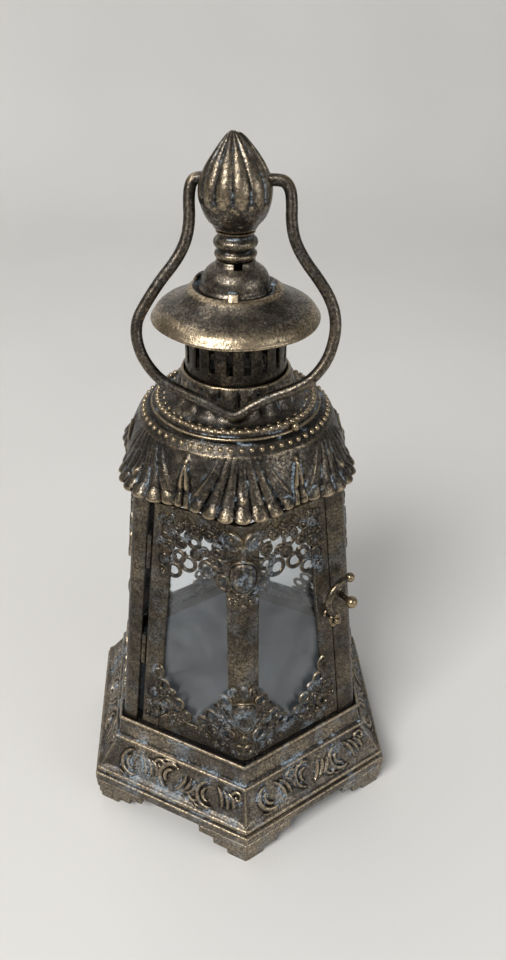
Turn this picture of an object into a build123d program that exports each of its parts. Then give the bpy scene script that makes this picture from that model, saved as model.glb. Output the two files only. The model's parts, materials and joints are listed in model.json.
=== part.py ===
from build123d import *

import os
from math import atan2, cos, degrees, radians, sin, tan

os.makedirs("parts", exist_ok=True)

# Six-sided metal and glass candle lantern, in millimetres.
# Origin: centre of the resting plane, +Z up. A corner of the hexagon points along -Y,
# and the door wraps round that front corner.

# ---- driving dimensions -----------------------------------------------------
SIDES = 6
FRONT, RIGHT, BACK_RIGHT, BACK, BACK_LEFT, LEFT = -90, -30, 30, 90, 150, 210
FACE_FRONT_LEFT, FACE_FRONT_RIGHT, FACE_RIGHT = -120, -60, 0
FACE_BACK_RIGHT, FACE_BACK_LEFT, FACE_LEFT = 60, 120, 180

# plinth: (height, corner radius) of its outside, from the flange up to the rim
FLANGE_R = 70.0
FLANGE_BOTTOM = 13.2
RIM_Z = 43.3
PLINTH_OUTSIDE = [
    (FLANGE_BOTTOM, FLANGE_R),
    (17.3, FLANGE_R),
    (17.9, 67.6),
    (18.9, 68.8),
    (20.2, 68.4),
    (20.6, 67.4),
    (32.2, 58.6),
    (32.9, 59.6),
    (34.0, 59.2),
    (34.5, 57.6),
    (41.6, 55.9),
    (41.9, 56.6),
    (RIM_Z, 56.4),
]
PLINTH_INSIDE = [
    (FLANGE_BOTTOM, 68.6),
    (16.6, 67.4),
    (32.2, 56.2),
    (42.1, 53.6),
]
LIP_R = 47.0
FLOOR_R, FLOOR_T = 51.5, 1.2

# bracket feet: three steps, from the flange down to the table, each set in a little
# (length along each side, distance set in, low, high)
FOOT_STEPS = [(21.5, 0.1, 8.8, FLANGE_BOTTOM), (15.0, 0.7, 4.4, 8.8), (8.7, 1.3, 0.0, 4.4)]
FOOT_WALL = 2.2

# glazed body, which narrows upwards
BODY_R, BODY_TOP_R, BODY_TOP_Z = 54.6, 42.1, 148.0
SHEET = 1.2
POST_TOP_Z = 150.4
FIXED_LEG, HINGE_LEG, DOOR_LEG = 8.2, 6.0, 6.7
DOOR_LOW, DOOR_HIGH = 1.0, 104.0
STILE_NEAR, STILE_FAR_LEFT, STILE_FAR_RIGHT = 8.6, 16.3, 15.4
RAIL_H = 8.0
GLASS_T, GLASS_LAP = 1.5, 2.6
CLIP_T = 0.8

# pressed openwork corner pieces, which lie on the outside of the frame
LACE_T, LACE_LIFT = 1.0, 0.06
LACE_BEAD_R = 3.3

# hinge and latch, on the door's left and right edges
HINGE_GAP_MID = 7.3
BARREL_R, HINGE_PIN_R, PIN_FIT = 0.9, 0.45, 0.05
KNUCKLE = 4.4
HINGE_CENTRES = (38.0, 83.0)
LATCH_X, LATCH_Y = 13.6, 52.8
HOOK_WIRE_R, HOOK_BEND_R = 1.0, 7.6
HOOK_OUT = 4.0
STUD_X, STUD_Y = 19.6, 59.2

# roof
RING_R, RING_HOLE_R = 42.0, 33.5
SKIRT_TOP_Z = 172.0
# (height, radius at the valleys, radius at the shell tips)
SKIRT_SECTIONS = [
    (151.2, 37.9, 44.8),
    (154.4, 37.6, 41.6),
    (159.0, 36.9, 38.9),
    (164.0, 35.9, 36.6),
    (168.6, 34.0, 34.1),
    (SKIRT_TOP_Z, 30.6, 30.6),
]
SKIRT_WALL = 1.1
COLLAR_R, COLLAR_WALL, SLOTS = 17.4, 0.9, 18
SLOT_W, SLOT_H, SLOT_Z = 2.3, 9.5, 193.4
CAP_R, CAP_Z = 28.06, 202.2

# finial and bail
PIVOT_Z = 246.3
BAIL_TURN, BAIL_TILT = -7.7, 18.7
WIRE_R, WIRE_FIT = 1.85, 0.06

# ---- shared geometry --------------------------------------------------------
BODY_RISE = BODY_TOP_Z - RIM_Z
APOTHEM = BODY_R * cos(radians(30))
FACE_LEAN = degrees(atan2((BODY_R - BODY_TOP_R) * cos(radians(30)), BODY_RISE))
SLOPE_LENGTH = BODY_RISE / cos(radians(FACE_LEAN))
TAPER = (BODY_R - BODY_TOP_R) / 2 / SLOPE_LENGTH


def half_width(y):
    """Half the width of one face of the body, y up its slope from the rim."""
    return BODY_R / 2 - TAPER * y


def face_plane(azimuth, out=0.0):
    """Plane of one body face: x along the face, y up the slope, z outwards."""
    a, lean = radians(azimuth), radians(FACE_LEAN)
    normal = Vector(cos(a) * cos(lean), sin(a) * cos(lean), sin(lean))
    origin = Vector(APOTHEM * cos(a), APOTHEM * sin(a), RIM_Z) + normal * out
    return Plane(origin=origin, x_dir=(-sin(a), cos(a), 0), z_dir=normal)


def corner_radius(z):
    """Corner radius of the body at a height."""
    return BODY_R - (BODY_R - BODY_TOP_R) * (z - RIM_Z) / BODY_RISE


def corner_direction(azimuth):
    """Direction of the body's leaning corner edge, upwards."""
    a = radians(azimuth)
    run = BODY_TOP_R - BODY_R
    return Vector(run * cos(a), run * sin(a), BODY_RISE).normalized()


def corner_plane(azimuth, radius, z):
    """Level plane at a corner, with x pointing away from the axis."""
    a = radians(azimuth)
    spot = (radius * cos(a), radius * sin(a), z)
    return Plane(origin=spot, x_dir=(cos(a), sin(a), 0), z_dir=(0, 0, 1))


def hexagon(radius, z):
    """Level hexagon, with a corner at the front."""
    with BuildSketch(Plane.XY.offset(z)) as outline:
        RegularPolygon(radius, SIDES, rotation=30)
    return outline.sketch


def angle_outline(leg_a, leg_b, wall):
    """Bent strip round a 120 degree corner: leg_a turns left, leg_b turns right."""
    c, s = cos(radians(120)), sin(radians(120))
    Polygon(
        (0, 0),
        (leg_a * c, leg_a * s),
        (leg_a * c - wall * s, leg_a * s + wall * c),
        (-wall / s, 0),
        (leg_b * c - wall * s, -leg_b * s - wall * c),
        (leg_b * c, -leg_b * s),
        align=None,
    )


def edge_strip(side, near, far, low, high):
    """Strip of a face at near..far millimetres from its left (-1) or right (+1) corner."""
    Polygon(
        (side * (half_width(low) - near), low),
        (side * (half_width(low) - far), low),
        (side * (half_width(high) - far), high),
        (side * (half_width(high) - near), high),
        align=None,
    )


def cross_strip(left, right, low, high):
    """Strip across a face, left and right millimetres in from its two corners."""
    Polygon(
        (left - half_width(low), low),
        (half_width(low) - right, low),
        (half_width(high) - right, high),
        (left - half_width(high), high),
        align=None,
    )


def write(piece, name):
    """Label one finished piece and write it as its own STEP file."""
    piece.part.label = name
    export_step(piece.part, f"parts/{name}.step")


# ---- plinth -----------------------------------------------------------------
with BuildPart() as base_shell:
    loft([hexagon(radius, height) for height, radius in PLINTH_OUTSIDE], ruled=True)
    loft([hexagon(radius, height) for height, radius in PLINTH_INSIDE], ruled=True, mode=Mode.SUBTRACT)
    extrude(hexagon(LIP_R, RIM_Z), amount=-3, mode=Mode.SUBTRACT)
write(base_shell, "base_shell")

with BuildPart() as floor_plate:
    extrude(hexagon(FLOOR_R, PLINTH_INSIDE[-1][0] - FLOOR_T), amount=FLOOR_T)
write(floor_plate, "floor_plate")

FEET = {
    "front": FRONT, "right": RIGHT, "back_right": BACK_RIGHT,
    "back": BACK, "back_left": BACK_LEFT, "left": LEFT,
}
for place, azimuth in FEET.items():
    with BuildPart() as foot:
        for leg, inset, low, high in FOOT_STEPS:
            with BuildSketch(corner_plane(azimuth, FLANGE_R - inset, low)):
                angle_outline(leg, leg, FOOT_WALL)
            extrude(amount=high - low)
    write(foot, f"foot_{place}")

# ---- corner posts: a folded strip at every corner, the front one on the door ----
# name: (corner, leg on the face to its left seen from outside, leg to its right, low, high)
DOOR_Z_LOW = RIM_Z + DOOR_LOW * cos(radians(FACE_LEAN))
DOOR_Z_HIGH = RIM_Z + DOOR_HIGH * cos(radians(FACE_LEAN))
POSTS = {
    "post_hinge_side": (LEFT, FIXED_LEG, HINGE_LEG, RIM_Z, POST_TOP_Z),
    "post_latch_side": (RIGHT, FIXED_LEG, FIXED_LEG, RIM_Z, POST_TOP_Z),
    "post_back_right": (BACK_RIGHT, FIXED_LEG, FIXED_LEG, RIM_Z, POST_TOP_Z),
    "post_back": (BACK, FIXED_LEG, FIXED_LEG, RIM_Z, POST_TOP_Z),
    "post_back_left": (BACK_LEFT, FIXED_LEG, FIXED_LEG, RIM_Z, POST_TOP_Z),
    "door_corner_post": (FRONT, DOOR_LEG, DOOR_LEG, DOOR_Z_LOW, DOOR_Z_HIGH),
}
for name, (azimuth, left_leg, right_leg, low, high) in POSTS.items():
    lean = corner_direction(azimuth)
    with BuildPart() as post:
        with BuildSketch(corner_plane(azimuth, corner_radius(low), low)):
            angle_outline(right_leg, left_leg, SHEET)
        extrude(amount=(high - low) / lean.Z, dir=lean)
        outer_edge = post.edges().filter_by(lambda e: abs((e % 0).dot(lean)) > 0.999)
        outer_edge = outer_edge.sort_by_distance((0, 0, (low + high) / 2))[-1]
        fillet(outer_edge, radius=1.1)
    write(post, name)

# ---- rails of the fixed frame, each a set of four strips between the posts ----
FIXED_FACES = (FACE_RIGHT, FACE_BACK_RIGHT, FACE_BACK_LEFT, FACE_LEFT)
RAIL_TOP_Y = (POST_TOP_Z - RIM_Z) / cos(radians(FACE_LEAN)) - 0.3
for name, low, high in (
    ("frame_bottom_rails", 0.3, RAIL_H + 1),
    ("frame_top_rails", DOOR_HIGH - RAIL_H, RAIL_TOP_Y),
):
    with BuildPart() as rails:
        for azimuth in FIXED_FACES:
            with BuildSketch(face_plane(azimuth)):
                cross_strip(FIXED_LEG, FIXED_LEG, low, high)
            extrude(amount=-SHEET)
    write(rails, name)

with BuildPart() as top_ring:
    extrude(hexagon(RING_R, POST_TOP_Z), amount=1.3)
    extrude(hexagon(RING_HOLE_R, POST_TOP_Z), amount=1.3, mode=Mode.SUBTRACT)
write(top_ring, "top_ring")

# ---- door: two stiles, the bent corner post above, and rails of two strips each ----
for name, azimuth, side, far in (
    ("door_hinge_stile", FACE_FRONT_LEFT, -1, STILE_FAR_LEFT),
    ("door_latch_stile", FACE_FRONT_RIGHT, 1, STILE_FAR_RIGHT),
):
    with BuildPart() as stile:
        with BuildSketch(face_plane(azimuth)):
            edge_strip(side, STILE_NEAR, far, DOOR_LOW, DOOR_HIGH)
        extrude(amount=-SHEET)
    write(stile, name)

for name, low, high in (
    ("door_bottom_rail", DOOR_LOW, DOOR_LOW + RAIL_H),
    ("door_top_rail", DOOR_HIGH - RAIL_H, DOOR_HIGH),
):
    with BuildPart() as rail:
        with BuildSketch(face_plane(FACE_FRONT_LEFT)):
            cross_strip(STILE_FAR_LEFT, DOOR_LEG, low, high)
        extrude(amount=-SHEET)
        with BuildSketch(face_plane(FACE_FRONT_RIGHT)):
            cross_strip(DOOR_LEG, STILE_FAR_RIGHT, low, high)
        extrude(amount=-SHEET)
    write(rail, name)

# ---- glass panes behind the frame, held by bent clips --------------------------
# name: (face, distance of the pane's left and right edges from the corners)
PANES = {
    "glass_door_left": (FACE_FRONT_LEFT, 10.6, GLASS_LAP),
    "glass_door_right": (FACE_FRONT_RIGHT, GLASS_LAP, 10.0),
    "glass_right": (FACE_RIGHT, 3.0, 3.0),
    "glass_back_right": (FACE_BACK_RIGHT, 3.0, 3.0),
    "glass_back_left": (FACE_BACK_LEFT, 3.0, 3.0),
    "glass_left": (FACE_LEFT, 3.0, 3.0),
}
GLASS_LOW, GLASS_HIGH = 3.2, 101.6
for name, (azimuth, left, right) in PANES.items():
    with BuildPart() as pane:
        with BuildSketch(face_plane(azimuth, -SHEET)):
            cross_strip(left, right, GLASS_LOW, GLASS_HIGH)
        extrude(amount=-GLASS_T)
    write(pane, name)


def clip_strips(inner, outer):
    """The four clips of one face, as strips just above and below its pane."""
    for x in (-9, 9):
        with Locations((x, GLASS_LOW - inner)):
            Rectangle(5, outer, align=(Align.CENTER, Align.MIN))
    for x in (-7, 7):
        with Locations((x, GLASS_HIGH + inner)):
            Rectangle(5, outer, align=(Align.CENTER, Align.MAX))


for name, faces in (
    ("door_glass_clips", (FACE_FRONT_LEFT, FACE_FRONT_RIGHT)),
    ("frame_glass_clips", FIXED_FACES),
):
    with BuildPart() as clips:
        for azimuth in faces:
            with BuildSketch(face_plane(azimuth, -SHEET)):
                clip_strips(1.4, 1.3)
            extrude(amount=-GLASS_T)
            with BuildSketch(face_plane(azimuth, -SHEET - GLASS_T)):
                clip_strips(1.4, 5.0)
            extrude(amount=-CLIP_T)
    write(clips, name)


# ---- openwork corner pieces -----------------------------------------------------
# Each level of lace: the height of its straight edge, the way it grows from there
# (+1 up from the bottom rail, -1 down from the top rail), and how far it grows at the
# corner and at the middle of the face.
TOP_LACE = {"base": DOOR_HIGH - 4.5, "rise": -1, "drop": 22.0, "mid": 16.0}
BOTTOM_LACE = {"base": 5.0, "rise": 1, "drop": 24.0, "mid": 7.0}
LACE_START = 3.5
LACE_EDGE = 0.4


LACE_HOLE_R = 1.7


def lace(side, start, reach, level):
    """Pierced lace on one face, from the corner on its left (-1) or right (+1).

    start is the distance from the corner and reach how far the lace runs along the face.
    Its free edge is five round lobes, on a curve that flattens towards the middle.
    """

    def spot(along, up):
        y = level["base"] + level["rise"] * up
        return (side * (half_width(y) - start - along), y)

    def free_edge(share):
        return level["mid"] + (level["drop"] - level["mid"]) * (1 - share) ** 1.4

    shares = [step / 4 for step in range(5)]
    lobes = [spot(LACE_START + reach * share, free_edge(share)) for share in shares]
    end = LACE_START + reach
    Polygon(spot(LACE_EDGE, level["drop"]), *lobes, spot(end, -3.0), spot(LACE_EDGE, -3.0), align=None)
    with Locations(*lobes):
        Circle(LACE_BEAD_R)
    inner_shares = (0.12, 0.5, 0.88)
    inner = [spot(LACE_START + reach * share, 0.45 * free_edge(share)) for share in inner_shares]
    with Locations(*lobes, *inner):
        Circle(LACE_HOLE_R, mode=Mode.SUBTRACT)


def corner_boss(side, level, half_high):
    """Half of the oval boss that covers the corner over the lace."""
    y = level["base"] + level["rise"] * 15.5
    with Locations((side * (half_width(y) - 0.4), y)):
        Ellipse(5.4, half_high)
    y = level["base"] + level["rise"] * 27.5
    Polygon(
        (side * half_width(y - 5), y - 5),
        (side * (half_width(y) - 3.2), y),
        (side * half_width(y + 5), y + 5),
        align=None,
    )


def trim_past_corner(side, level):
    """Cut a face's half of a bent piece off along the corner, with room for the mitre."""
    past = LACE_T * tan(radians(30))
    low, high = sorted((level["base"] - level["rise"] * 8, level["base"] + level["rise"] * 38))
    Polygon(
        (side * (half_width(low) + past), low),
        (side * (half_width(low) + 14), low),
        (side * (half_width(high) + 14), high),
        (side * (half_width(high) + past), high),
        align=None,
        mode=Mode.SUBTRACT,
    )


# how far the lace reaches along a face, on the door and on the fixed frame
REACH = {"top": (9.8, 13.4), "bottom": (14.5, 17.5)}


def lace_corner(azimuth, level, reach):
    """Both halves of one bent corner piece, round the corner at an azimuth."""
    for face, side in ((azimuth - 30, 1), (azimuth + 30, -1)):
        with BuildSketch(face_plane(face, LACE_LIFT)) as half:
            lace(side, 0.0, reach, level)
            corner_boss(side, level, half_high=6.4)
            ends = (level["base"] - level["rise"] * 3, level["base"] + level["rise"] * 25)
            edge_strip(side, -0.6, 1.6, *sorted(ends))
            trim_past_corner(side, level)
        extrude(half.sketch, amount=LACE_T)


for where, level in (("top", TOP_LACE), ("bottom", BOTTOM_LACE)):
    door_reach, fixed_reach = REACH[where]
    with BuildPart() as door_lace:
        lace_corner(FRONT, level, door_reach)
    write(door_lace, f"door_lace_{where}_corner")

    with BuildPart() as door_side_lace:
        for face, side in ((FACE_FRONT_LEFT, -1), (FACE_FRONT_RIGHT, 1)):
            with BuildSketch(face_plane(face, LACE_LIFT)):
                lace(side, STILE_NEAR + 0.2, door_reach, level)
            extrude(amount=LACE_T)
    write(door_side_lace, f"door_lace_{where}_sides")

    with BuildPart() as frame_side_lace:
        for face, side in ((FACE_LEFT, 1), (FACE_RIGHT, -1)):
            with BuildSketch(face_plane(face, LACE_LIFT)):
                lace(side, 0.6, fixed_reach, level)
            extrude(amount=LACE_T)
    write(frame_side_lace, f"frame_lace_{where}_sides")

    for place, azimuth in (("back_right", BACK_RIGHT), ("back", BACK), ("back_left", BACK_LEFT)):
        with BuildPart() as frame_lace:
            lace_corner(azimuth, level, fixed_reach)
        write(frame_lace, f"frame_lace_{where}_{place}")

# ---- hinges: three knuckles on a pin at two heights, in the slit by the left post ----
HINGE_AXIS_OUT = -SHEET / 2


def hinge_spot(y):
    """Point on the hinge line, in the front left face's plane."""
    return (HINGE_GAP_MID - half_width(y), y, HINGE_AXIS_OUT)


def hinge_plane(y):
    """Plane across the hinge line at y up the face, with x towards the door."""
    face = face_plane(FACE_FRONT_LEFT)
    axis = corner_direction(LEFT)
    spot = face.from_local_coords(hinge_spot(y))
    return Plane(origin=spot, x_dir=face.z_dir.cross(axis), z_dir=axis)


def knuckle(start, length, toward):
    """One barrel round the pin with its leaf behind the sheet, on one side of the slit."""
    plane = hinge_plane(start)
    with BuildSketch(plane) as section:
        Circle(BARREL_R)
        with Locations((toward * 1.15, -0.9)):
            Rectangle(2.3, 0.6)
        Circle(HINGE_PIN_R + PIN_FIT, mode=Mode.SUBTRACT)
    extrude(section.sketch, amount=length)


with BuildPart() as hinge_frame_leaves:
    for centre in HINGE_CENTRES:
        for offset in (-1.5 * KNUCKLE - 0.3, 0.5 * KNUCKLE + 0.3):
            knuckle(centre + offset, KNUCKLE, -1)
write(hinge_frame_leaves, "hinge_frame_leaves")

with BuildPart() as hinge_door_leaves:
    for centre in HINGE_CENTRES:
        knuckle(centre - 0.5 * KNUCKLE, KNUCKLE, 1)
write(hinge_door_leaves, "hinge_door_leaves")

with BuildPart() as hinge_pins:
    for centre in HINGE_CENTRES:
        with BuildSketch(hinge_plane(centre - 1.5 * KNUCKLE - 0.8)):
            Circle(HINGE_PIN_R)
        extrude(amount=3 * KNUCKLE + 1.6)
write(hinge_pins, "hinge_pins")

# ---- latch: a hook turns on a rivet in the door and goes round a stud on the post ----
latch_face = face_plane(FACE_FRONT_RIGHT)
EYE_R, RIVET_R = 2.4, 1.0
EYE_LOW, EYE_HIGH = HOOK_OUT - HOOK_WIRE_R, HOOK_OUT + HOOK_WIRE_R

with BuildPart() as latch_rivet:
    with BuildSketch(latch_face):
        with Locations((LATCH_X, LATCH_Y)):
            Circle(2.2)
    extrude(amount=EYE_LOW - 0.25)
    with BuildSketch(latch_face):
        with Locations((LATCH_X, LATCH_Y)):
            Circle(RIVET_R)
    extrude(amount=EYE_HIGH + 0.3)
    with BuildSketch(latch_face.offset(EYE_HIGH + 0.25)):
        with Locations((LATCH_X, LATCH_Y)):
            Circle(1.7)
    extrude(amount=0.9)
write(latch_rivet, "latch_rivet")

BEND_X, BEND_Y = 18.4, 60.4
BEND_START, BEND_TURN = -122, -142
TAIL_TURN = radians(BEND_START + BEND_TURN)
TAIL_START = (BEND_X + HOOK_BEND_R * cos(TAIL_TURN), BEND_Y + HOOK_BEND_R * sin(TAIL_TURN))
TAIL_END = (TAIL_START[0] + 3.4 * sin(TAIL_TURN), TAIL_START[1] - 3.4 * cos(TAIL_TURN))
with BuildPart() as latch_hook:
    with BuildLine(latch_face.offset(HOOK_OUT)) as bend:
        CenterArc((BEND_X, BEND_Y), HOOK_BEND_R, BEND_START, BEND_TURN)
        Line(TAIL_START, TAIL_END)
    with BuildSketch(Plane(origin=bend.line @ 0, z_dir=bend.line % 0)):
        Circle(HOOK_WIRE_R)
    sweep(path=bend.line)
    with Locations(latch_face.from_local_coords((*TAIL_END, HOOK_OUT))):
        Sphere(1.9)
    with BuildSketch(latch_face.offset(EYE_LOW)):
        with Locations((LATCH_X, LATCH_Y)):
            Circle(EYE_R)
    extrude(amount=2 * HOOK_WIRE_R)
    with BuildSketch(latch_face.offset(EYE_LOW - 0.5)):
        with Locations((LATCH_X, LATCH_Y)):
            Circle(RIVET_R + PIN_FIT)
    extrude(amount=2 * HOOK_WIRE_R + 1, mode=Mode.SUBTRACT)
write(latch_hook, "latch_hook")

with BuildPart() as latch_stud:
    for radius, low, high in ((2.9, 0.0, 0.8), (1.1, 0.8, 5.2)):
        with BuildSketch(latch_face.offset(low)):
            with Locations((STUD_X, STUD_Y)):
                Circle(radius)
        extrude(amount=high - low)
    with Locations(latch_face.from_local_coords((STUD_X, STUD_Y, 6.6))):
        Sphere(2.4)
write(latch_stud, "latch_stud")


# ---- roof -----------------------------------------------------------------------
def shell_outline(z, valley, tip):
    """Six-lobed level outline: a shell at every corner, a valley over every face."""
    points = []
    for step in range(48):
        turn = radians(FRONT + 7.5 * step)
        swell = ((1 + cos(6 * radians(7.5 * step))) / 2) ** 0.7
        radius = valley + (tip - valley) * swell
        points.append((radius * cos(turn), radius * sin(turn)))
    with BuildSketch(Plane.XY.offset(z)) as outline:
        with BuildLine():
            Spline(*points, periodic=True)
        make_face()
    return outline.sketch


with BuildPart() as roof_skirt:
    loft([shell_outline(z, valley, tip) for z, valley, tip in SKIRT_SECTIONS])
    inside = [(z - 0.05, valley - SKIRT_WALL, tip - SKIRT_WALL) for z, valley, tip in SKIRT_SECTIONS]
    inside[-1] = (SKIRT_TOP_Z + 0.05, inside[-1][1], inside[-1][2])
    loft([shell_outline(*section) for section in inside], mode=Mode.SUBTRACT)
write(roof_skirt, "roof_skirt")


def turned(*outline):
    """Solid of revolution from (radius, height) points."""
    with BuildSketch(Plane.XZ) as section:
        Polygon(*outline, align=None)
    revolve(section.sketch, axis=Axis.Z)


with BuildPart() as roof_dome:
    turned(
        (29.3, 170.9), (29.3, 172.6), (28.3, 174.2), (26.9, 174.7), (25.6, 173.9), (23.6, 174.5),
        (21.5, 176.0), (19.7, 179.0), (18.6, 183.0), (18.6, 185.2), (17.5, 185.2), (17.5, 182.8),
        (18.6, 178.6), (20.7, 175.1), (23.4, 173.4), (25.7, 172.8), (28.2, 172.0), (28.2, 170.9),
    )
write(roof_dome, "roof_dome")

with BuildPart() as vent_collar:
    turned(
        (COLLAR_R, 182.4), (COLLAR_R, 209.0),
        (COLLAR_R - COLLAR_WALL, 209.4), (COLLAR_R - COLLAR_WALL, 182.4),
    )
    with BuildSketch(Plane.XY.offset(SLOT_Z)) as slot_marks:
        with PolarLocations(COLLAR_R - COLLAR_WALL / 2, SLOTS):
            Rectangle(4, SLOT_W)
    extrude(slot_marks.sketch, amount=SLOT_H / 2, both=True, mode=Mode.SUBTRACT)
write(vent_collar, "vent_collar")

with BuildPart() as cap:
    turned(
        (CAP_R, 202.4), (CAP_R, 203.4), (26.6, 205.6), (24.6, 207.2), (21.8, 208.3), (18.9, 209.6),
        (16.8, 211.3), (15.6, 212.6), (14.6, 213.0), (13.0, 213.0), (12.2, 212.2), (3.2, 212.2),
        (3.2, 211.0), (14.4, 211.0), (17.4, 209.5), (20.8, 207.5), (24.2, 205.7), (26.3, 203.6),
        (26.6, 202.4),
    )
write(cap, "cap")

with BuildPart() as bell_dome:
    turned(
        (11.9, 212.25), (11.9, 213.0), (11.2, 213.9), (11.0, 215.4), (10.5, 217.1), (9.5, 218.6),
        (8.0, 219.8), (6.9, 220.5), (6.4, 221.3), (6.3, 222.0), (5.0, 222.1), (2.1, 222.1),
        (2.1, 221.2), (5.2, 221.1), (5.6, 220.2), (7.3, 218.8), (8.7, 217.7), (9.5, 216.6),
        (10.0, 215.1), (10.1, 213.6), (10.8, 212.25),
    )
    with BuildSketch(Plane(origin=(0.5, -4.2, 221.3), x_dir=(1, 0, 0), z_dir=(0, -1, 0))):
        Rectangle(3.2, 2.0)
    extrude(amount=10, mode=Mode.SUBTRACT)
write(bell_dome, "bell_dome")

with BuildPart() as neck:
    turned(
        (0, 222.15), (5.4, 222.15), (6.4, 222.9), (6.9, 224.0), (6.1, 225.0), (6.2, 225.6), (7.0, 226.6),
        (7.2, 228.0), (6.4, 229.2), (5.8, 230.0), (6.4, 230.6), (6.4, 231.3), (0, 231.3),
    )
    with BuildSketch(Plane.XY.offset(222.0)):
        Circle(1.6)
    extrude(amount=7, mode=Mode.SUBTRACT)
write(neck, "neck")

with BuildPart() as centre_screw:
    turned(
        (0, 208.6), (3.4, 208.6), (3.8, 209.2), (3.8, 210.9), (1.55, 210.9), (1.55, 228.0), (0, 228.6),
    )
write(centre_screw, "centre_screw")

# ---- finial: two pressed halves that meet on the bail's pivot line ----------------
BULB_WALL = 1.3
BULB_OUTSIDE = [
    (7.4, 232.8), (8.7, 234.3), (10.4, 237.1), (11.3, 240.1), (11.6, 243.1), (11.1, 246.0),
    (9.8, 248.9), (8.1, 251.7), (5.9, 254.5), (3.4, 257.4), (1.4, 259.4),
]
pivot_turn = radians(BAIL_TURN)
PIVOT_DIR = Vector(cos(pivot_turn), sin(pivot_turn), 0)
seam = Plane(origin=(0, 0, PIVOT_Z), x_dir=PIVOT_DIR, z_dir=(sin(pivot_turn), -cos(pivot_turn), 0))


def bulb_wall():
    """Section of the hollow bulb: its outside up to the tip, then its inside down again."""
    foot_low, foot_high, tip_high = 231.4, 232.7, 260.0
    inner = [(radius - BULB_WALL, height) for radius, height in BULB_OUTSIDE[:-1]]
    inner[0] = (inner[0][0], foot_high + 0.4)
    return [
        (0, foot_low), (6.3, foot_low), *BULB_OUTSIDE, (0, tip_high),
        (0, tip_high - 2 * BULB_WALL), *reversed(inner), (5.0, foot_high), (0, foot_high),
    ]


for name, keep in (("finial_front", Keep.TOP), ("finial_back", Keep.BOTTOM)):
    with BuildPart() as half_bulb:
        turned(*bulb_wall())
        split(bisect_by=seam, keep=keep)
        with BuildSketch(Plane(origin=(0, 0, PIVOT_Z), z_dir=PIVOT_DIR)):
            Circle(WIRE_R + WIRE_FIT)
        extrude(amount=20, both=True, mode=Mode.SUBTRACT)
    write(half_bulb, name)

# ---- bail: one bent wire whose two ends turn into the finial ------------------------
tilt = radians(BAIL_TILT)
down = Vector(sin(pivot_turn) * sin(tilt), -cos(pivot_turn) * sin(tilt), -cos(tilt))
bail_plane = Plane(origin=(0, 0, PIVOT_Z), x_dir=PIVOT_DIR, z_dir=PIVOT_DIR.cross(down))
# bends of the wire, from each end to the notch: (sideways, along the bail, bend radius).
# The bail is bent by hand, and its left leg stands closer to the finial than its right.
BAIL_RIGHT = [
    (17.1, 0.0, 3.2), (17.4, 17.5, 14.0), (31.2, 34.6, 16.0), (33.0, 44.5, 14.0),
    (29.6, 56.0, 12.0), (23.6, 61.9, 12.0), (11.5, 66.2, 14.0),
]
BAIL_LEFT = [
    (-13.95, 0.0, 2.8), (-13.95, 18.2, 14.0), (-31.2, 43.8, 9.0), (-30.4, 51.0, 12.0),
    (-23.4, 61.6, 12.0), (-10.0, 67.4, 14.0),
]
BAIL_NOTCH = (0.8, 73.3, 4.0)
STUB_IN = 8.8
bends = [*BAIL_RIGHT, BAIL_NOTCH, *reversed(BAIL_LEFT)]
with BuildPart() as bail:
    with BuildLine(bail_plane) as bail_line:
        FilletPolyline(
            (STUB_IN, 0), *[(x, y) for x, y, bend_r in bends], (-STUB_IN, 0),
            radius=[bend_r for x, y, bend_r in bends],
        )
    with BuildSketch(Plane(origin=bail_line.line @ 0, z_dir=bail_line.line % 0)):
        Circle(WIRE_R)
    sweep(path=bail_line.line)
write(bail, "bail")
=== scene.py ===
import json
import math

import bpy
import bmesh
import numpy as np
from mathutils import Matrix, Vector


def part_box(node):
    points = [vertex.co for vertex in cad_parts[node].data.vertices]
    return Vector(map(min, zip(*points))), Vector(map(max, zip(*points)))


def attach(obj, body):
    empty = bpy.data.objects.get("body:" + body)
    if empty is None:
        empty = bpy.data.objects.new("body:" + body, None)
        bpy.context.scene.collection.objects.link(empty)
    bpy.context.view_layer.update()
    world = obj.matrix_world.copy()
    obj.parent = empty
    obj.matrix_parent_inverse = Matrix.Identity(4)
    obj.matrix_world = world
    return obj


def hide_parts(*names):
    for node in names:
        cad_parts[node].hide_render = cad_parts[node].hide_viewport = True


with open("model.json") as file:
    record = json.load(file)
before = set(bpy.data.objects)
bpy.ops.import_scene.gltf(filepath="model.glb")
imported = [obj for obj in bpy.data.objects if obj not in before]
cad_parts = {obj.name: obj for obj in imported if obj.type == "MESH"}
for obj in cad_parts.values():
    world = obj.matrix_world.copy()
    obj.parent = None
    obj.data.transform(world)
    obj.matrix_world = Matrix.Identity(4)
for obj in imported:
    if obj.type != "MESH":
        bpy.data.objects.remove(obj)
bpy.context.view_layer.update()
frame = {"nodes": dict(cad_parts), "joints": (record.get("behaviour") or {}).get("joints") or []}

# Looks of the six-sided metal lantern. Shapes are worked out in millimetres about the
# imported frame, and turned into metres when a piece is made.
MM = 0.001
CORNERS = {"front": -90, "right": -30, "back_right": 30, "back": 90, "back_left": 150, "left": 210}
FRONT, RIGHT, LEFT = CORNERS["front"], CORNERS["right"], CORNERS["left"]
COS_30 = math.cos(math.radians(30))
ROOT = 0.866  # the same, rounded, for level corners and for lengths along the plinth's slope


# ---- measures read from the frame ----------------------------------------------
def low(node):
    """Lowest corner of a CAD node's box, in millimetres."""
    return np.array(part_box(node)[0]) / MM


def high(node):
    """Highest corner of a CAD node's box, in millimetres."""
    return np.array(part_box(node)[1]) / MM


def joint(name):
    """Place and axis of a joint, the place in millimetres."""
    found = next(j for j in frame["joints"] if j["name"] == name)
    return np.array(found["pos_m"]) / MM, np.array(found["axis"])


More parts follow.
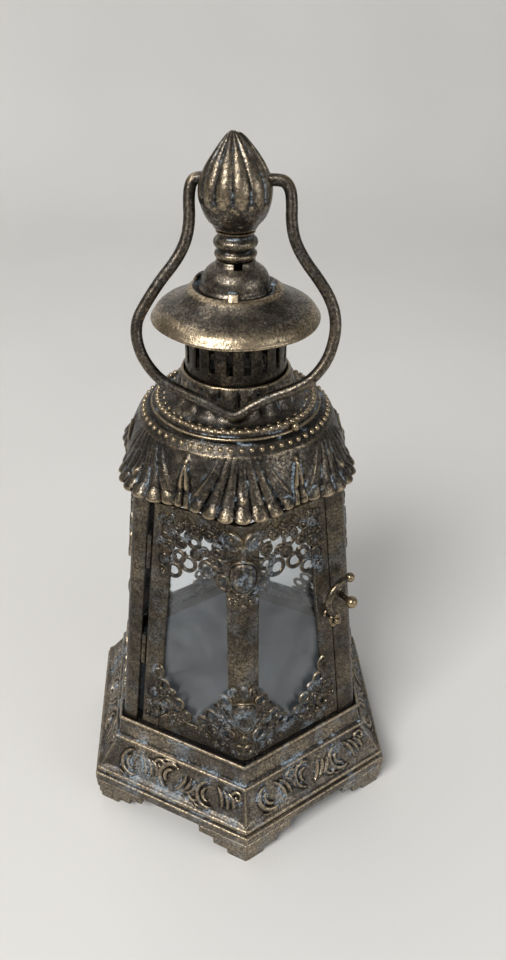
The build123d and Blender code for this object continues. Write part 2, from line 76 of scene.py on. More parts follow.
FLANGE_Z, RIM_Z = low("base_shell")[2], high("base_shell")[2]
FLANGE_R = high("base_shell")[1]
POST_TOP_Z = high("post_back")[2]
CORNER_LOW_R = 54.6
CORNER_RUN = 12.5 / 104.7  # how much the corner radius shrinks for each millimetre of height
LEAN = math.atan(CORNER_RUN * COS_30)
POST_LEG = 8.2  # width of each leg of a folded corner post
SKIRT_Z = low("roof_skirt")[2], high("roof_skirt")[2]
DOME_Z = high("roof_dome")[2]
COLLAR_R, COLLAR_TOP = high("vent_collar")[0], high("vent_collar")[2]
CAP_R, CAP_Z, CAP_TOP = high("cap")[0], low("cap")[2], high("cap")[2]
BELL_Z, NECK_Z = high("bell_dome")[2], low("neck")[2]
BULB_LOW, BULB_HIGH = low("finial_front")[2], high("finial_front")[2]


# ---- mesh building ---------------------------------------------------------------
class Skin:
    """Points and faces of one piece, gathered patch by patch."""

    def __init__(self):
        self.points, self.faces, self.count = [], [], 0

    def add(self, points, faces):
        points = np.asarray(points, float).reshape(-1, 3)
        self.points.append(points)
        self.faces += [tuple(int(i) + self.count for i in face) for face in faces]
        self.count += len(points)

    def grid(self, p, close_rows=False, close_columns=False, caps=False, skip=lambda i, j, k: False):
        """Quads over points in rows and columns, with closed ends, or left out, if asked."""
        rows, columns = p.shape[:2]
        faces = []
        for i in range(rows if close_rows else rows - 1):
            here, there = i * columns, (i + 1) % rows * columns
            for j in range(columns if close_columns else columns - 1):
                k = (j + 1) % columns
                if not skip(i, j, k):
                    faces.append((here + j, here + k, there + k, there + j))
        if caps:
            faces.append(tuple(reversed(range(columns))))
            faces.append(tuple(range((rows - 1) * columns, rows * columns)))
        self.add(p, faces)

    def strip_caps(self, p):
        """Closes both ends of rows whose points run out along one side and back on the other."""
        columns = p.shape[1]
        pairs = [(j, j + 1, columns - 2 - j, columns - 1 - j) for j in range(columns // 2 - 1)]
        self.add(p[0], [tuple(reversed(quad)) for quad in pairs])
        self.add(p[-1], pairs)

    def mesh(self, name):
        """Smooth-shaded mesh, in metres."""
        made = bpy.data.meshes.new(name)
        made.from_pydata((np.concatenate(self.points) * MM).tolist(), [], self.faces)
        made.polygons.foreach_set("use_smooth", [True] * len(made.polygons))
        return made


def placed(name, data):
    """New object of the scene that shows the data."""
    made = bpy.data.objects.new(name, data)
    bpy.context.scene.collection.objects.link(made)
    return made


def level(azimuth):
    """Level directions at an azimuth: away from the axis, and round it."""
    a = math.radians(azimuth)
    return np.array([math.cos(a), math.sin(a), 0.0]), np.array([-math.sin(a), math.cos(a), 0.0])


def relief_of(points, edges, normals, rounds):
    """How far each point stands above (+) or below (-) the smoothed surface, in millimetres."""
    count = len(points)
    a, b = edges[:, 0], edges[:, 1]
    degree = np.maximum(np.bincount(a, minlength=count) + np.bincount(b, minlength=count), 1)
    smooth = points.copy()
    for _ in range(rounds):
        total = np.stack([
            np.bincount(a, weights=smooth[b, c], minlength=count)
            + np.bincount(b, weights=smooth[a, c], minlength=count)
            for c in range(3)
        ], axis=1)
        smooth = 0.4 * smooth + 0.6 * total / degree[:, None]
    return ((points - smooth) * normals).sum(1)


def make(node, skin, body, material, crease, rounds, solid=None, gain=1.0, most=0.6):
    """Turns a skin into an object that rides on a body and stands for a CAD node."""
    mesh = skin.mesh(f"look_{node}")
    work = bmesh.new()
    work.from_mesh(mesh)
    bmesh.ops.remove_doubles(work, verts=work.verts, dist=0.004 * MM)
    bmesh.ops.dissolve_degenerate(work, edges=work.edges, dist=0.0005 * MM)
    bmesh.ops.recalc_face_normals(work, faces=work.faces)
    work.to_mesh(mesh)
    work.free()
    mesh.set_sharp_from_angle(angle=math.radians(crease))
    add_relief(mesh, rounds, gain, most)
    piece = placed(f"look_{node}", mesh)
    mesh.materials.append(material)
    if solid:
        thick = piece.modifiers.new("wall", "SOLIDIFY")
        thick.thickness, thick.offset = solid * MM, -1
    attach(piece, body)
    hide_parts(node)
    return piece


def add_relief(mesh, rounds, gain, most):
    """Stores the relief of a mesh, for wear on what stands out, and bloom and painted shade in what lies back.
    """
    count = len(mesh.vertices)
    points, normals = np.zeros(count * 3), np.zeros(count * 3, np.float32)
    mesh.vertices.foreach_get("co", points)
    mesh.vertex_normals.foreach_get("vector", normals)
    edges = np.zeros(len(mesh.edges) * 2, np.int64)
    mesh.edges.foreach_get("vertices", edges)
    value = relief_of(points.reshape(-1, 3) / MM, edges.reshape(-1, 2), normals.reshape(-1, 3), rounds)
    layer = mesh.attributes.new("relief", "FLOAT", "POINT")
    layer.data.foreach_set("value", np.clip(value * gain, -0.6, most).astype(np.float32))


def repaint(piece, chosen, relief=-0.16):
    """Sets the relief of chosen points (x, y, z in millimetres): pale bloom over painted shade by default."""
    layer = piece.data.attributes["relief"].data
    for vertex in piece.data.vertices:
        if chosen(*(vertex.co / MM)):
            layer[vertex.index].value = relief


def hexagon_reach(x, y):
    """Distance from the axis to the side of the level hexagon that a point lies on."""
    turns = [math.radians(azimuth) for azimuth in range(0, 360, 60)]
    return max(x * math.cos(turn) + y * math.sin(turn) for turn in turns)


# ---- places on the leaning body ---------------------------------------------------
class Face:
    """One leaning face of the body: x along it, y up its slope, n outwards."""

    def __init__(self, azimuth):
        outward, self.along = level(azimuth)
        self.normal = outward * math.cos(LEAN) + [0, 0, math.sin(LEAN)]
        self.up = np.cross(self.normal, self.along)
        self.origin = outward * CORNER_LOW_R * COS_30 + [0, 0, RIM_Z]

    def __call__(self, x, y, n):
        x, y, n = (v[..., None] for v in np.broadcast_arrays(np.asarray(x, float), y, n))
        return self.origin + x * self.along + y * self.up + n * self.normal


def half_width(y):
    """Half the width of a body face, y up its slope."""
    return (CORNER_LOW_R - CORNER_RUN * y * math.cos(LEAN)) / 2


def round_corner(azimuth, fold=2.4):
    """Place by distance round a body corner (minus to its left), y up the slope, n outwards."""
    left, right = Face(azimuth - 30), Face(azimuth + 30)

    def place(a, y, n):
        a, y, n = (np.asarray(v, float)[..., None] for v in np.broadcast_arrays(a, y, n))
        edge = left.origin + left.along * half_width(y) + left.up * y
        t = np.clip((a + fold) / (2 * fold), 0, 1)
        outward = (1 - t) * left.normal + t * right.normal
        outward = outward / np.linalg.norm(outward, axis=-1, keepdims=True)
        bent = t**2 * fold * right.along - (1 - t) ** 2 * fold * left.along
        straight = np.where(a < 0, a * left.along, a * right.along)
        return edge + np.where(abs(a) < fold, bent, straight) + n * outward

    return place


def spaced(start, stop, step, bevel=0.25):
    """Values from start to stop about step apart, with one close to each end."""
    inner = np.linspace(start + bevel, stop - bevel, max(2, round(abs(stop - start) / step)))
    return np.concatenate([[start], inner, [stop]])


def slab(skin, place, left, right, y0, y1, n0, n1, bevel=0.25, step=1.6):
    """Thin plate with softened edges; left and right may change with y."""
    edge_left = left if callable(left) else lambda y: left
    edge_right = right if callable(right) else lambda y: right
    ys = spaced(y0, y1, 4.0, bevel)
    wide = edge_right(y0) - edge_left(y0)
    share = spaced(0.0, 1.0, step / wide, bevel / wide)
    rows = []
    for index, y in enumerate(ys):
        a = edge_left(y) + share * (edge_right(y) - edge_left(y))
        top = np.full(len(a), n1)
        top[[0, -1]] -= bevel
        if index in (0, len(ys) - 1):
            top = np.minimum(top, n1 - bevel)
        outer = place(a, y, top)
        rows.append(np.concatenate([outer, place(a, y, n0)[::-1]]))
    rows = np.array(rows)
    skin.grid(rows, close_columns=True)
    skin.strip_caps(rows)


# ---- strokes of the pierced lace ---------------------------------------------------
STROKE_SIDES = 7


def stroke(skin, place, path, width, height, base=0.05, closed=False):
    """Half-round raised line along a path of (a, y) points."""
    path = np.asarray(path, float)
    if closed:
        ahead = np.roll(path, -1, 0) - np.roll(path, 1, 0)
    else:
        ahead = np.gradient(path, axis=0)
    ahead /= np.maximum(np.linalg.norm(ahead, axis=1, keepdims=True), 1e-9)
    across = np.stack([-ahead[:, 1], ahead[:, 0]], axis=1)
    wide = np.broadcast_to(width, len(path))[:, None]
    tall = np.broadcast_to(height, len(path))[:, None]
    turn = np.linspace(0, math.pi, STROKE_SIDES)
    out = wide * np.cos(turn)
    a = path[:, :1] + across[:, :1] * out
    y = path[:, 1:] + across[:, 1:] * out
    n = base + tall * np.sin(turn) ** 0.8
    skin.grid(place(a, y, n), close_rows=closed, close_columns=True, caps=not closed)


def ring(centre, radius, start=0.0, sweep=360.0, stretch=1.0):
    """Points round a circle or part of one."""
    steps = max(8, round(abs(sweep) / 18))
    turn = np.radians(start + np.linspace(0, sweep, steps, endpoint=abs(sweep) < 360))
    return np.stack([centre[0] + radius * np.cos(turn), centre[1] + radius * stretch * np.sin(turn)], axis=1)


def curl(centre, radius, start, turns):
    """Spiral that tightens towards its centre."""
    steps = max(10, round(abs(turns) * 22))
    share = np.linspace(0, 1, steps)
    turn = np.radians(start) + share * turns * 2 * math.pi
    r = radius * (1 - 0.78 * share)
    return np.stack([centre[0] + r * np.cos(turn), centre[1] + r * np.sin(turn)], axis=1)


def bow(start, end, bulge):
    """Arc from start to end that swells to one side by bulge."""
    start, end = np.array(start, float), np.array(end, float)
    share = np.linspace(0, 1, 10)[:, None]
    side = np.array([start[1] - end[1], end[0] - start[0]])
    side /= max(np.linalg.norm(side), 1e-9)
    return start + (end - start) * share + side * bulge * 4 * share * (1 - share)


def boss(skin, place, centre, radius, height, stretch=1.0, base=0.05, rings=5, sides=20, ribs=0, tip=0.0):
    """Domed button, round or oval, with an optional pointed foot and ribs down it."""
    turn = np.linspace(0, 2 * math.pi, sides, endpoint=False)
    rows = []
    for step in range(rings + 1):
        fall = step / rings * math.pi / 2
        r = radius * math.sin(fall) if step else radius * 0.02
        a = r * np.cos(turn)
        y = r * stretch * np.sin(turn)
        y = np.where(y < 0, y * (1 + tip * (1 - abs(np.cos(turn)))), y)
        rib = 0.1 * np.cos(a * ribs) if ribs else 0.0
        n = base + height * math.cos(fall) ** 0.8 + rib * (step < rings)
        rows.append(place(centre[0] + a, centre[1] + y, n))
    rows.append(place(centre[0] + a, centre[1] + y, base))
    skin.grid(np.array(rows), close_columns=True, caps=True)


def plate_disc(skin, place, centre, radius, height=0.42, sides=14):
    """Flat disc that backs a mark."""
    turn = np.linspace(0, 2 * math.pi, sides, endpoint=False)
    rows = []
    for share, n in ((0.9, height), (1.0, height - 0.12), (1.0, 0.05)):
        r = radius * share
        rows.append(place(centre[0] + r * np.cos(turn), centre[1] + r * np.sin(turn), n))
    skin.grid(np.array(rows), close_columns=True, caps=True)


def tapered(count, thin=0.35):
    """Widths that swell from thin ends to a full middle."""
    return thin + (1 - thin) * np.sin(np.linspace(0, math.pi, count)) ** 0.7


class Lace:
    """One pierced piece: its marks are set down at (side * distance, y)."""

    def __init__(self, skin, place, side, start=0.0):
        self.skin, self.place, self.side, self.start = skin, place, side, start

    def flip(self, path):
        path = np.asarray(path, float).copy()
        path[..., 0] = self.side * (path[..., 0] + self.start)
        return path

    def ring(self, x, y, r, width=0.8, stretch=1.0):
        stroke(self.skin, self.place, self.flip(ring((x, y), r, stretch=stretch)), width, 0.85, closed=True)

    def back(self, x, y, r):
        plate_disc(self.skin, self.place, self.flip(np.array([[x, y]]))[0], r)

    def curl(self, x, y, r, start, turns, width=0.7, height=0.95):
        self.back(x, y, r * 0.95)
        path = curl((x, y), r, start, turns)
        stroke(self.skin, self.place, self.flip(path), width * np.linspace(1, 0.75, len(path)), height)
        centre = self.flip(path[-1:])[0]
        boss(self.skin, self.place, centre, width * 1.25, height * 1.15, rings=3, sides=8)

    def bow(self, x0, y0, x1, y1, bulge=0.5, width=0.7, height=0.9):
        path = bow((x0, y0), (x1, y1), bulge)
        stroke(self.skin, self.place, self.flip(path), width * tapered(len(path)), height)

    def disc(self, x, y, r, height=0.9, stretch=1.0):
        centre = self.flip(np.array([[x, y]]))[0]
        boss(self.skin, self.place, centre, r * 0.78, height, stretch)
        rim = ring((x, y), r * 0.92, stretch=stretch)
        stroke(self.skin, self.place, self.flip(rim), 0.42, 0.75, closed=True)

    def bead(self, x, y, r=0.75):
        boss(self.skin, self.place, self.flip(np.array([[x, y]]))[0], r, 1.0, rings=3, sides=8)

    def floret(self, x, y, r, petals=5, turn=90):
        self.back(x, y, r * 0.8)
        for k in range(petals):
            t = math.radians(turn + 360 * k / petals)
            self.bead(x + 0.62 * r * math.cos(t), y + 0.62 * r * math.sin(t), 0.5 * r)
        self.bead(x, y, 0.45 * r)

    def vine(self, spots):
        """Small curls and florets that fill the ground between the larger marks."""
        for index, (x, y) in enumerate(spots):
            start = 137.5 * index
            if index % 3 == 2:
                self.floret(x, y, 1.5, petals=4, turn=start)
            else:
                self.curl(x, y, 1.75, start, 1.1 if index % 2 else -1.1, width=0.48, height=0.8)


def top_corner(lace):
    """Half of the upper corner piece, on one side of the corner."""
    for x, y, r in ((7.2, 80.2, 2.7), (13.7, 83.6, 2.8)):
        lace.ring(x, y, r)
    lace.curl(4.4, 97.6, 3.9, 200, -1.25, width=0.85, height=1.3)
    lace.curl(9.4, 92.2, 2.6, 60, 1.2)
    lace.curl(12.6, 96.8, 2.4, 160, -1.1)
    lace.ring(9.0, 87.0, 2.0)
    lace.curl(14.4, 90.2, 2.1, -40, 1.1)
    lace.bow(4.4, 89.6, 6.0, 82.6, 1.0, 0.9)
    lace.bow(2.6, 92.4, 8.0, 89.4, -0.6)
    lace.bow(8.6, 84.6, 12.0, 86.4, 0.5)
    lace.bow(10.0, 82.0, 13.4, 80.8, -0.5, 0.5)
    lace.bow(0.4, 75.6, 5.4, 77.8, -0.8, 0.8)
    lace.floret(4.0, 73.8, 2.0)
    lace.curl(1.9, 76.4, 1.5, 20, 1.0, width=0.5)
    lace.vine(((7.4, 99.0), (10.8, 99.6), (15.6, 99.2), (16.8, 95.4), (6.8, 94.6), (11.6, 88.6)))


def top_side(lace):
    """Upper side piece, which reaches from the outer edge of a face towards its middle."""
    lace.ring(14.6, 83.4, 2.8)
    lace.ring(9.2, 79.0, 2.6)
    lace.ring(10.8, 85.2, 2.1)
    lace.ring(16.2, 92.8, 2.0)
    lace.disc(17.6, 88.4, 2.5)
    lace.disc(5.6, 95.6, 2.6)
    lace.disc(4.8, 82.4, 2.4, stretch=1.3)
    lace.curl(11.2, 91.0, 2.7, 100, 1.2)
    lace.curl(15.2, 97.4, 2.2, 20, -1.1)
    lace.curl(9.8, 96.8, 2.2, 200, 1.1)
    lace.curl(6.2, 89.0, 2.4, 300, 1.2)
    lace.bow(3.4, 79.4, 4.4, 74.2, -0.6, 0.9)
    lace.bow(6.6, 79.4, 4.6, 74.2, 0.6, 0.7)
    lace.bow(2.6, 86.0, 3.4, 93.4, 0.8, 0.7)
    lace.bow(12.0, 82.4, 13.0, 88.0, -0.6, 0.6)
    lace.floret(4.4, 76.6, 1.6)
    lace.vine(((3.0, 99.0), (6.6, 99.8), (12.6, 99.4), (13.8, 94.6), (8.0, 92.8), (8.8, 84.0), (2.8, 89.6)))


def bottom_corner(lace):
    """Half of the lower corner piece."""
    lace.curl(3.7, 33.4, 2.5, 300, 1.2, width=0.75, height=1.1)
    lace.ring(7.6, 27.6, 2.3)
    lace.disc(10.6, 23.0, 2.2)
    lace.ring(13.6, 17.8, 2.4)
    lace.ring(17.2, 13.2, 2.2)
    lace.ring(6.9, 11.6, 2.7, 0.8)
    lace.curl(9.6, 17.4, 2.5, 120, -1.2)
    lace.ring(2.0, 6.2, 2.0)
    lace.curl(12.4, 10.6, 2.3, 200, 1.2)
    lace.curl(18.6, 8.4, 1.9, 30, -1.1)
    lace.bow(3.2, 15.6, 6.6, 19.6, 0.8, 0.8)
    lace.bow(6.6, 21.0, 9.4, 27.0, -0.6, 0.7)
    lace.bow(1.2, 13.6, 4.6, 8.6, -0.7, 0.8)
    lace.bow(15.6, 15.4, 10.6, 13.6, 0.6, 0.6)
    lace.bead(1.0, 12.4, 1.0)
    lace.vine(((4.6, 3.6), (8.6, 5.6), (12.0, 4.6), (15.8, 6.4), (16.4, 10.2), (6.6, 15.6), (5.6, 24.6),
               (12.6, 14.0)))


def bottom_side(lace):
    """Lower side piece."""
    lace.bow(4.8, 27.4, 5.4, 33.8, 1.2, 0.9)
    lace.bow(6.8, 27.4, 5.4, 33.8, -1.2, 0.9)
    lace.ring(5.4, 29.0, 2.1)
    lace.ring(7.9, 24.0, 2.4)
    lace.disc(4.0, 18.4, 2.7)
    lace.ring(6.8, 11.4, 2.6)
    lace.curl(11.4, 21.0, 2.5, 30, 1.2)
    lace.ring(15.2, 17.2, 2.3)
    lace.disc(19.0, 12.6, 2.7)
    lace.curl(11.0, 15.2, 2.6, 210, -1.2)
    lace.curl(13.8, 10.4, 2.3, 100, 1.2)
    lace.bow(1.8, 23.6, 4.2, 27.0, 0.6, 0.7)
    lace.bow(9.0, 18.0, 7.0, 14.4, -0.7, 0.7)
    lace.vine(((2.4, 6.4), (6.0, 6.6), (9.8, 7.4), (13.4, 6.2), (17.2, 7.6), (2.6, 12.6), (8.2, 19.6),
               (16.6, 11.0)))


def corner_bosses(skin, place, upper):
    """The raised marks that cover the corner itself."""
    if upper:
        middle = 84.4
        boss(skin, place, (0, middle), 5.0, 2.3, 1.2, rings=7, sides=32, ribs=3.2)
        stroke(skin, place, ring((0, middle), 5.3, stretch=1.2), 0.5, 1.1, closed=True)
        stroke(skin, place, bow((0, 91.0), (0, 96.4), 0), 0.9 * tapered(10, 0.6), 1.7)
        boss(skin, place, (0, 91.4), 1.2, 1.9, rings=3, sides=10)
        for x, y, r in ((0, 76.0, 1.7), (0, 72.2, 1.5)):
            boss(skin, place, (x, y), r, 1.4, 1.2, rings=4, sides=14)
    else:
        middle, rim_r = 24.4, 5.2
        boss(skin, place, (0, middle), 4.9, 2.0, 1.0, rings=7, sides=32, tip=0.75)
        rim = ring((0, middle), rim_r)
        pointed = middle + (rim[:, 1] - middle) * (1 + 0.7 * (1 - abs(rim[:, 0]) / rim_r))
        rim[:, 1] = np.where(rim[:, 1] < middle, pointed, rim[:, 1])
        stroke(skin, place, rim, 0.5, 1.0, closed=True)
        boss(skin, place, (0, 34.8), 2.0, 1.6, 1.5, rings=5, sides=16, tip=0.5)
        boss(skin, place, (0, 12.6), 1.3, 1.7, 1.5, rings=4, sides=12)
        boss(skin, place, (0, 4.4), 1.8, 1.0, 0.8, rings=4, sides=12)


def lace_piece(node, body, marks):
    """One pierced piece: each mark is drawn on a skin, then the piece is finished."""
    skin = Skin()
    for mark in marks:
        mark(skin)
    make(node, skin, body, LACE, crease=60, rounds=2)


def corner_lace(node, body, azimuth, half, upper):
    """Pierced piece that is bent round a corner."""
    place = round_corner(azimuth)
    lace_piece(node, body, (
        lambda skin: half(Lace(skin, place, -1)),
        lambda skin: half(Lace(skin, place, 1)),
        lambda skin: corner_bosses(skin, place, upper),
    ))


def side_lace(node, body, half, side, start):
    """Pierced pieces at the outer edges of the door or beside them, left and right."""
    lace_piece(node, body, (
        lambda skin: half(Lace(skin, round_corner(LEFT), side, start)),
        lambda skin: half(Lace(skin, round_corner(RIGHT), -side, start)),
    ))


def lace_pieces():
    """Every pierced piece, on the door and on the fixed frame."""
    for where, corner, side_piece in (("top", top_corner, top_side), ("bottom", bottom_corner, bottom_side)):
        upper = where == "top"
        corner_lace(f"door_lace_{where}_corner", "door", FRONT, corner, upper)
        side_lace(f"door_lace_{where}_sides", "door", side_piece, 1, 8.9)
        side_lace(f"frame_lace_{where}_sides", "frame", side_piece, -1, 1.6)
        for name in ("back_right", "back", "back_left"):
            corner_lace(f"frame_lace_{where}_{name}", "frame", CORNERS[name], corner, upper)


# ---- plinth and feet ----------------------------------------------------------------
def rounded(profile, rounds):
    """Open profile with its corners cut again and again, so that its beads come out round."""
    p = np.asarray(profile, float)
    for _ in range(rounds):
        near = 0.75 * p[:-1] + 0.25 * p[1:]
        far = 0.25 * p[:-1] + 0.75 * p[1:]
        inner = np.stack([near, far], axis=1).reshape(-1, 2)
        p = np.concatenate([p[:1], inner[1:-1], p[-1:]])
    return p


def along(profile, step):
    """Points evenly spaced along a profile."""
    p = np.asarray(profile, float)
    length = np.concatenate([[0], np.cumsum(np.linalg.norm(np.diff(p, axis=0), axis=1))])
    count = max(2, round(length[-1] / step))
    at = np.linspace(0, length[-1], count)
    return np.stack([np.interp(at, length, p[:, c]) for c in range(2)], axis=1)


def softened(profile, step, closed=False, rounds=2):
    """Profile with round corners and evenly spaced points."""
    if closed:
        return along(rounded([*profile, profile[0]], rounds), step)[:-1]
    return along(rounded(profile, rounds), step)


def segments_height(x, y, path, width):
    """Height from 0 to 1 of a rounded ridge along a path, over points x, y."""
    best = np.zeros_like(x)
    count = len(path)
    widths = np.broadcast_to(width, count)
    for k in range(count - 1):
        (x0, y0), (x1, y1) = path[k], path[k + 1]
        dx, dy = x1 - x0, y1 - y0
        share = np.clip(((x - x0) * dx + (y - y0) * dy) / max(dx * dx + dy * dy, 1e-9), 0, 1)
        gap = np.hypot(x - x0 - share * dx, y - y0 - share * dy)
        wide = widths[k] + (widths[k + 1] - widths[k]) * share
        best = np.maximum(best, np.sqrt(np.clip(1 - (gap / wide) ** 2, 0, 1)))
    return best


def scroll_strokes(tall):
    """Acanthus along one panel, about its middle: (path, widths, strength)."""
    marks = []
    pitch = 17.4
    for k in (-1, 0, 1):
        flip = 1 if k % 2 == 0 else -1
        cx, cy = k * pitch, tall / 2
        for r, wide, sweep in ((5.0, 1.15, 200), (2.7, 0.95, 170)):
            first = 180 - flip * 22 - sweep / 2
            path = ring((cx - 2.2, cy + flip * 0.3), r, first, sweep)
            marks.append((path, wide * tapered(len(path), 0.3), 1.0))
        for j in range(3):
            start = (cx + 0.6 + 2.5 * j, cy - flip * (4.4 - 0.5 * j))
            end = (cx + 4.4 + 2.4 * j, cy + flip * (3.9 - 0.9 * j))
            path = bow(start, end, -flip * 1.1)
            marks.append((path, 1.05 * tapered(len(path), 0.25), 0.9))
        tail = curl((cx + 9.6, cy - flip * 3.0), 2.4, 200 if flip > 0 else 160, flip * 0.9)
        marks.append((tail, np.linspace(0.8, 0.6, len(tail)), 0.85))
        leaf = bow((cx - 7.6, cy + flip * 5.2), (cx - 1.0, cy + flip * 6.0), flip * 0.9)
        marks.append((leaf, 0.75 * tapered(len(leaf), 0.3), 0.7))
    return marks


def plinth():
    """Six sloped panels with a pressed scroll, beads above and below, and the rim."""
    step_up = [(FLANGE_Z + h, r) for h, r in (
        (0, 68.6), (0, FLANGE_R - 0.1), (0.3, FLANGE_R), (3.6, FLANGE_R), (4.2, FLANGE_R - 0.5), (4.3, 68.0),
        (4.7, 67.5), (5.1, 68.1), (5.6, 68.8), (6.6, 68.8), (7.1, 68.1), (7.3, 67.3),
    )]
    step_top = [
        (32.2, 58.6), (32.5, 58.5), (32.7, 59.4), (33.3, 59.8), (33.9, 59.4), (34.1, 58.3), (34.5, 57.6),
        (41.4, 55.95), (41.6, 56.4), (42.0, 56.8), (RIM_Z - 0.5, 56.8), (RIM_Z, 56.3), (RIM_Z - 0.1, 55.5),
        (RIM_Z - 1.0, 55.1), (RIM_Z - 1.1, 47.0), (RIM_Z - 1.7, 47.0), (RIM_Z - 1.7, 53.6), (32.0, 56.4),
        (16.6, 67.0), (FLANGE_Z, 68.6),
    ]
    lower = softened(step_up, 0.3)
    panel = along([step_up[-1], step_top[0]], 0.28)
    upper = softened(step_top, 0.42)
    profile = np.concatenate([lower, panel[1:-1], upper])
    panel_from, panel_to = len(lower), len(lower) + len(panel) - 2
    slope = np.concatenate([[0], np.cumsum(np.linalg.norm(np.diff(profile, axis=0) * [1, ROOT], axis=1))])
    up = slope - slope[panel_from - 1]
    length = slope[panel_to] - slope[panel_from - 1]
    columns = 190
    share = np.linspace(-1, 1, columns)
    half = profile[:, 1:] / 2 * share
    height = np.zeros(half.shape)
    inside = slice(panel_from, panel_to)
    x, y = half[inside], np.repeat(up[inside, None], columns, axis=1)
    for path, width, strength in scroll_strokes(length):
        height[inside] = np.maximum(height[inside], strength * segments_height(x, y, path, width))
    border = np.minimum(y, length - y)
    sides = profile[inside, 1:] / 2 * (1 - abs(share))
    height[inside] *= np.clip(border / 0.9, 0, 1) * np.clip((sides - 0.8) / 1.4, 0, 1)
    ground = np.clip(np.minimum(border / 1.6, sides / 2.2), 0, 1)
    height[inside] = 0.95 * height[inside] - 0.55 * ground
    lean_out, lean_up = 0.66, 0.75  # the sloped panel's outward direction
    skin = Skin()
    for azimuth in range(-120, 240, 60):
        outward, sideways = level(azimuth)
        p = (profile[:, 1:] * COS_30 + height * lean_out)[..., None] * outward + half[..., None] * sideways
        p[..., 2] = profile[:, :1] + height * lean_up
        skin.grid(p)
    piece = make("base_shell", skin, "frame", BRONZE, 40, 18, gain=0.9, most=0.16)
    # painted shade: the recess behind the rim is painted black, as the shadow in the gap under the door
    repaint(piece, lambda x, y, z: z > RIM_Z - 1.3 and hexagon_reach(x, y) < 48.1, -0.6)
    # painted highlight: the lip inside the glass is painted bright, as a thin bright line
    repaint(piece, lambda x, y, z: z > RIM_Z - 1.8 and hexagon_reach(x, y) < 41.3, 0.5)


def level_corner(azimuth, radius, fold=0.5):
    """Place by distance round a level corner of the hexagon, height and depth inwards."""
    out, side = level(azimuth)
    left, right = -0.5 * out - ROOT * side, -0.5 * out + ROOT * side

    def place(s, z, n):
        s, z, n = (np.asarray(v, float)[..., None] for v in np.broadcast_arrays(s, z, n))
        t = np.clip((s + fold) / (2 * fold), 0, 1)
        bent = (1 - t) ** 2 * fold * left + t**2 * fold * right
        straight = np.where(s < 0, -s * left, s * right)
        normal = (1 - t) * (ROOT * out - 0.5 * side) + t * (ROOT * out + 0.5 * side)
        normal = normal / np.linalg.norm(normal, axis=-1, keepdims=True)
        p = out * radius + np.where(abs(s) < fold, bent, straight) + n * normal
        return p + z * np.array([0.0, 0.0, 1.0])

    return place


def feet():
    """Bracket feet of three stepped layers with softened edges."""
    steps = ((21.5, 0.1, 8.8, FLANGE_Z), (15.0, 0.7, 4.4, 8.8), (8.7, 1.3, 0.0, 4.4))
    for name, azimuth in CORNERS.items():
        skin = Skin()
        for leg, inset, z0, z1 in steps:
            place = level_corner(azimuth, FLANGE_R - inset)
            slab(skin, place, -leg, leg, z0, z1, -2.2, 0.0, bevel=0.45, step=0.5)
        make(f"foot_{name}", skin, "frame", BRONZE, 40, 1, gain=0.5, most=0.14)


# ---- posts, stiles and rails ----------------------------------------------------------
def plates(node, body, parts):
    """One piece made of bent or flat strips: (place, left, right, low, high)."""
    skin = Skin()
    for place, left, right, y0, y1 in parts:
        slab(skin, place, left, right, y0, y1, -1.2, 0.0, bevel=0.28, step=0.7)
    return make(node, skin, body, POST, 42, 1, gain=0.12)


def rail(node, body, spans, y0, y1, relief):
    """Rails between posts, with painted shade where they lie behind the lace: (face, post leg to its left, and
    to its right).
    """
    piece = plates(node, body, [
        (face, lambda y, e=left: e - half_width(y), lambda y, e=right: half_width(y) - e, y0, y1)
        for face, left, right in spans
    ])
    # painted shade: the whole rail gets one low relief, which darkens it and lays a little bloom on it
    repaint(piece, lambda x, y, z: True, relief)


def body_frame():
    """Posts, stiles and rails of the fixed frame and of the door."""
    full = (POST_TOP_Z - RIM_Z) / math.cos(LEAN)
    door_low, door_high, tall = 1.0, 104.0, 8.0
    door_post, hinge_stile, latch_stile = 6.7, 16.3, 15.4  # where each ends, from the corner beside it
    hinge_leg, stile_start = 6.0, POST_LEG + 0.4
    for name, azimuth, right in (
        ("hinge_side", LEFT, hinge_leg), ("latch_side", RIGHT, POST_LEG),
        *((name, CORNERS[name], POST_LEG) for name in ("back_right", "back", "back_left")),
    ):
        plates(f"post_{name}", "frame", [(round_corner(azimuth), -POST_LEG, right, -1.05, full)])
    for node, azimuth, left, right in (
        ("door_corner_post", FRONT, -door_post, door_post),
        ("door_hinge_stile", LEFT, stile_start, hinge_stile),
        ("door_latch_stile", RIGHT, -latch_stile, -stile_start),
    ):
        plates(node, "door", [(round_corner(azimuth), left, right, door_low, door_high)])
    spans = ((Face(-120), hinge_stile, door_post), (Face(-60), door_post, latch_stile))
    rail("door_bottom_rail", "door", spans, door_low, door_low + tall, -0.12)
    rail("door_top_rail", "door", spans, door_high - tall, door_high, -0.07)
    spans = [(Face(azimuth), POST_LEG, POST_LEG) for azimuth in (0, 60, 120, 180)]
    rail("frame_bottom_rails", "frame", spans, -0.6, tall + 1, -0.12)
    rail("frame_top_rails", "frame", spans, door_high - tall, full - 0.3, -0.07)


# ---- turned and pressed roof pieces -------------------------------------------------------
def lathe(skin, profile, sides, shape=None):
    """Turned form from (radius, height) points; shape may change it round the axis."""
    profile = np.asarray(profile, float)
    turn = np.linspace(0, 2 * math.pi, sides, endpoint=False)
    r = np.repeat(profile[:, :1], sides, axis=1)
    z = np.repeat(profile[:, 1:], sides, axis=1)
    if shape:
        r, z = shape(r, z, turn[None, :])
    p = np.stack([r * np.cos(turn), r * np.sin(turn), z], axis=-1)
    skin.grid(p, close_rows=True, close_columns=True)


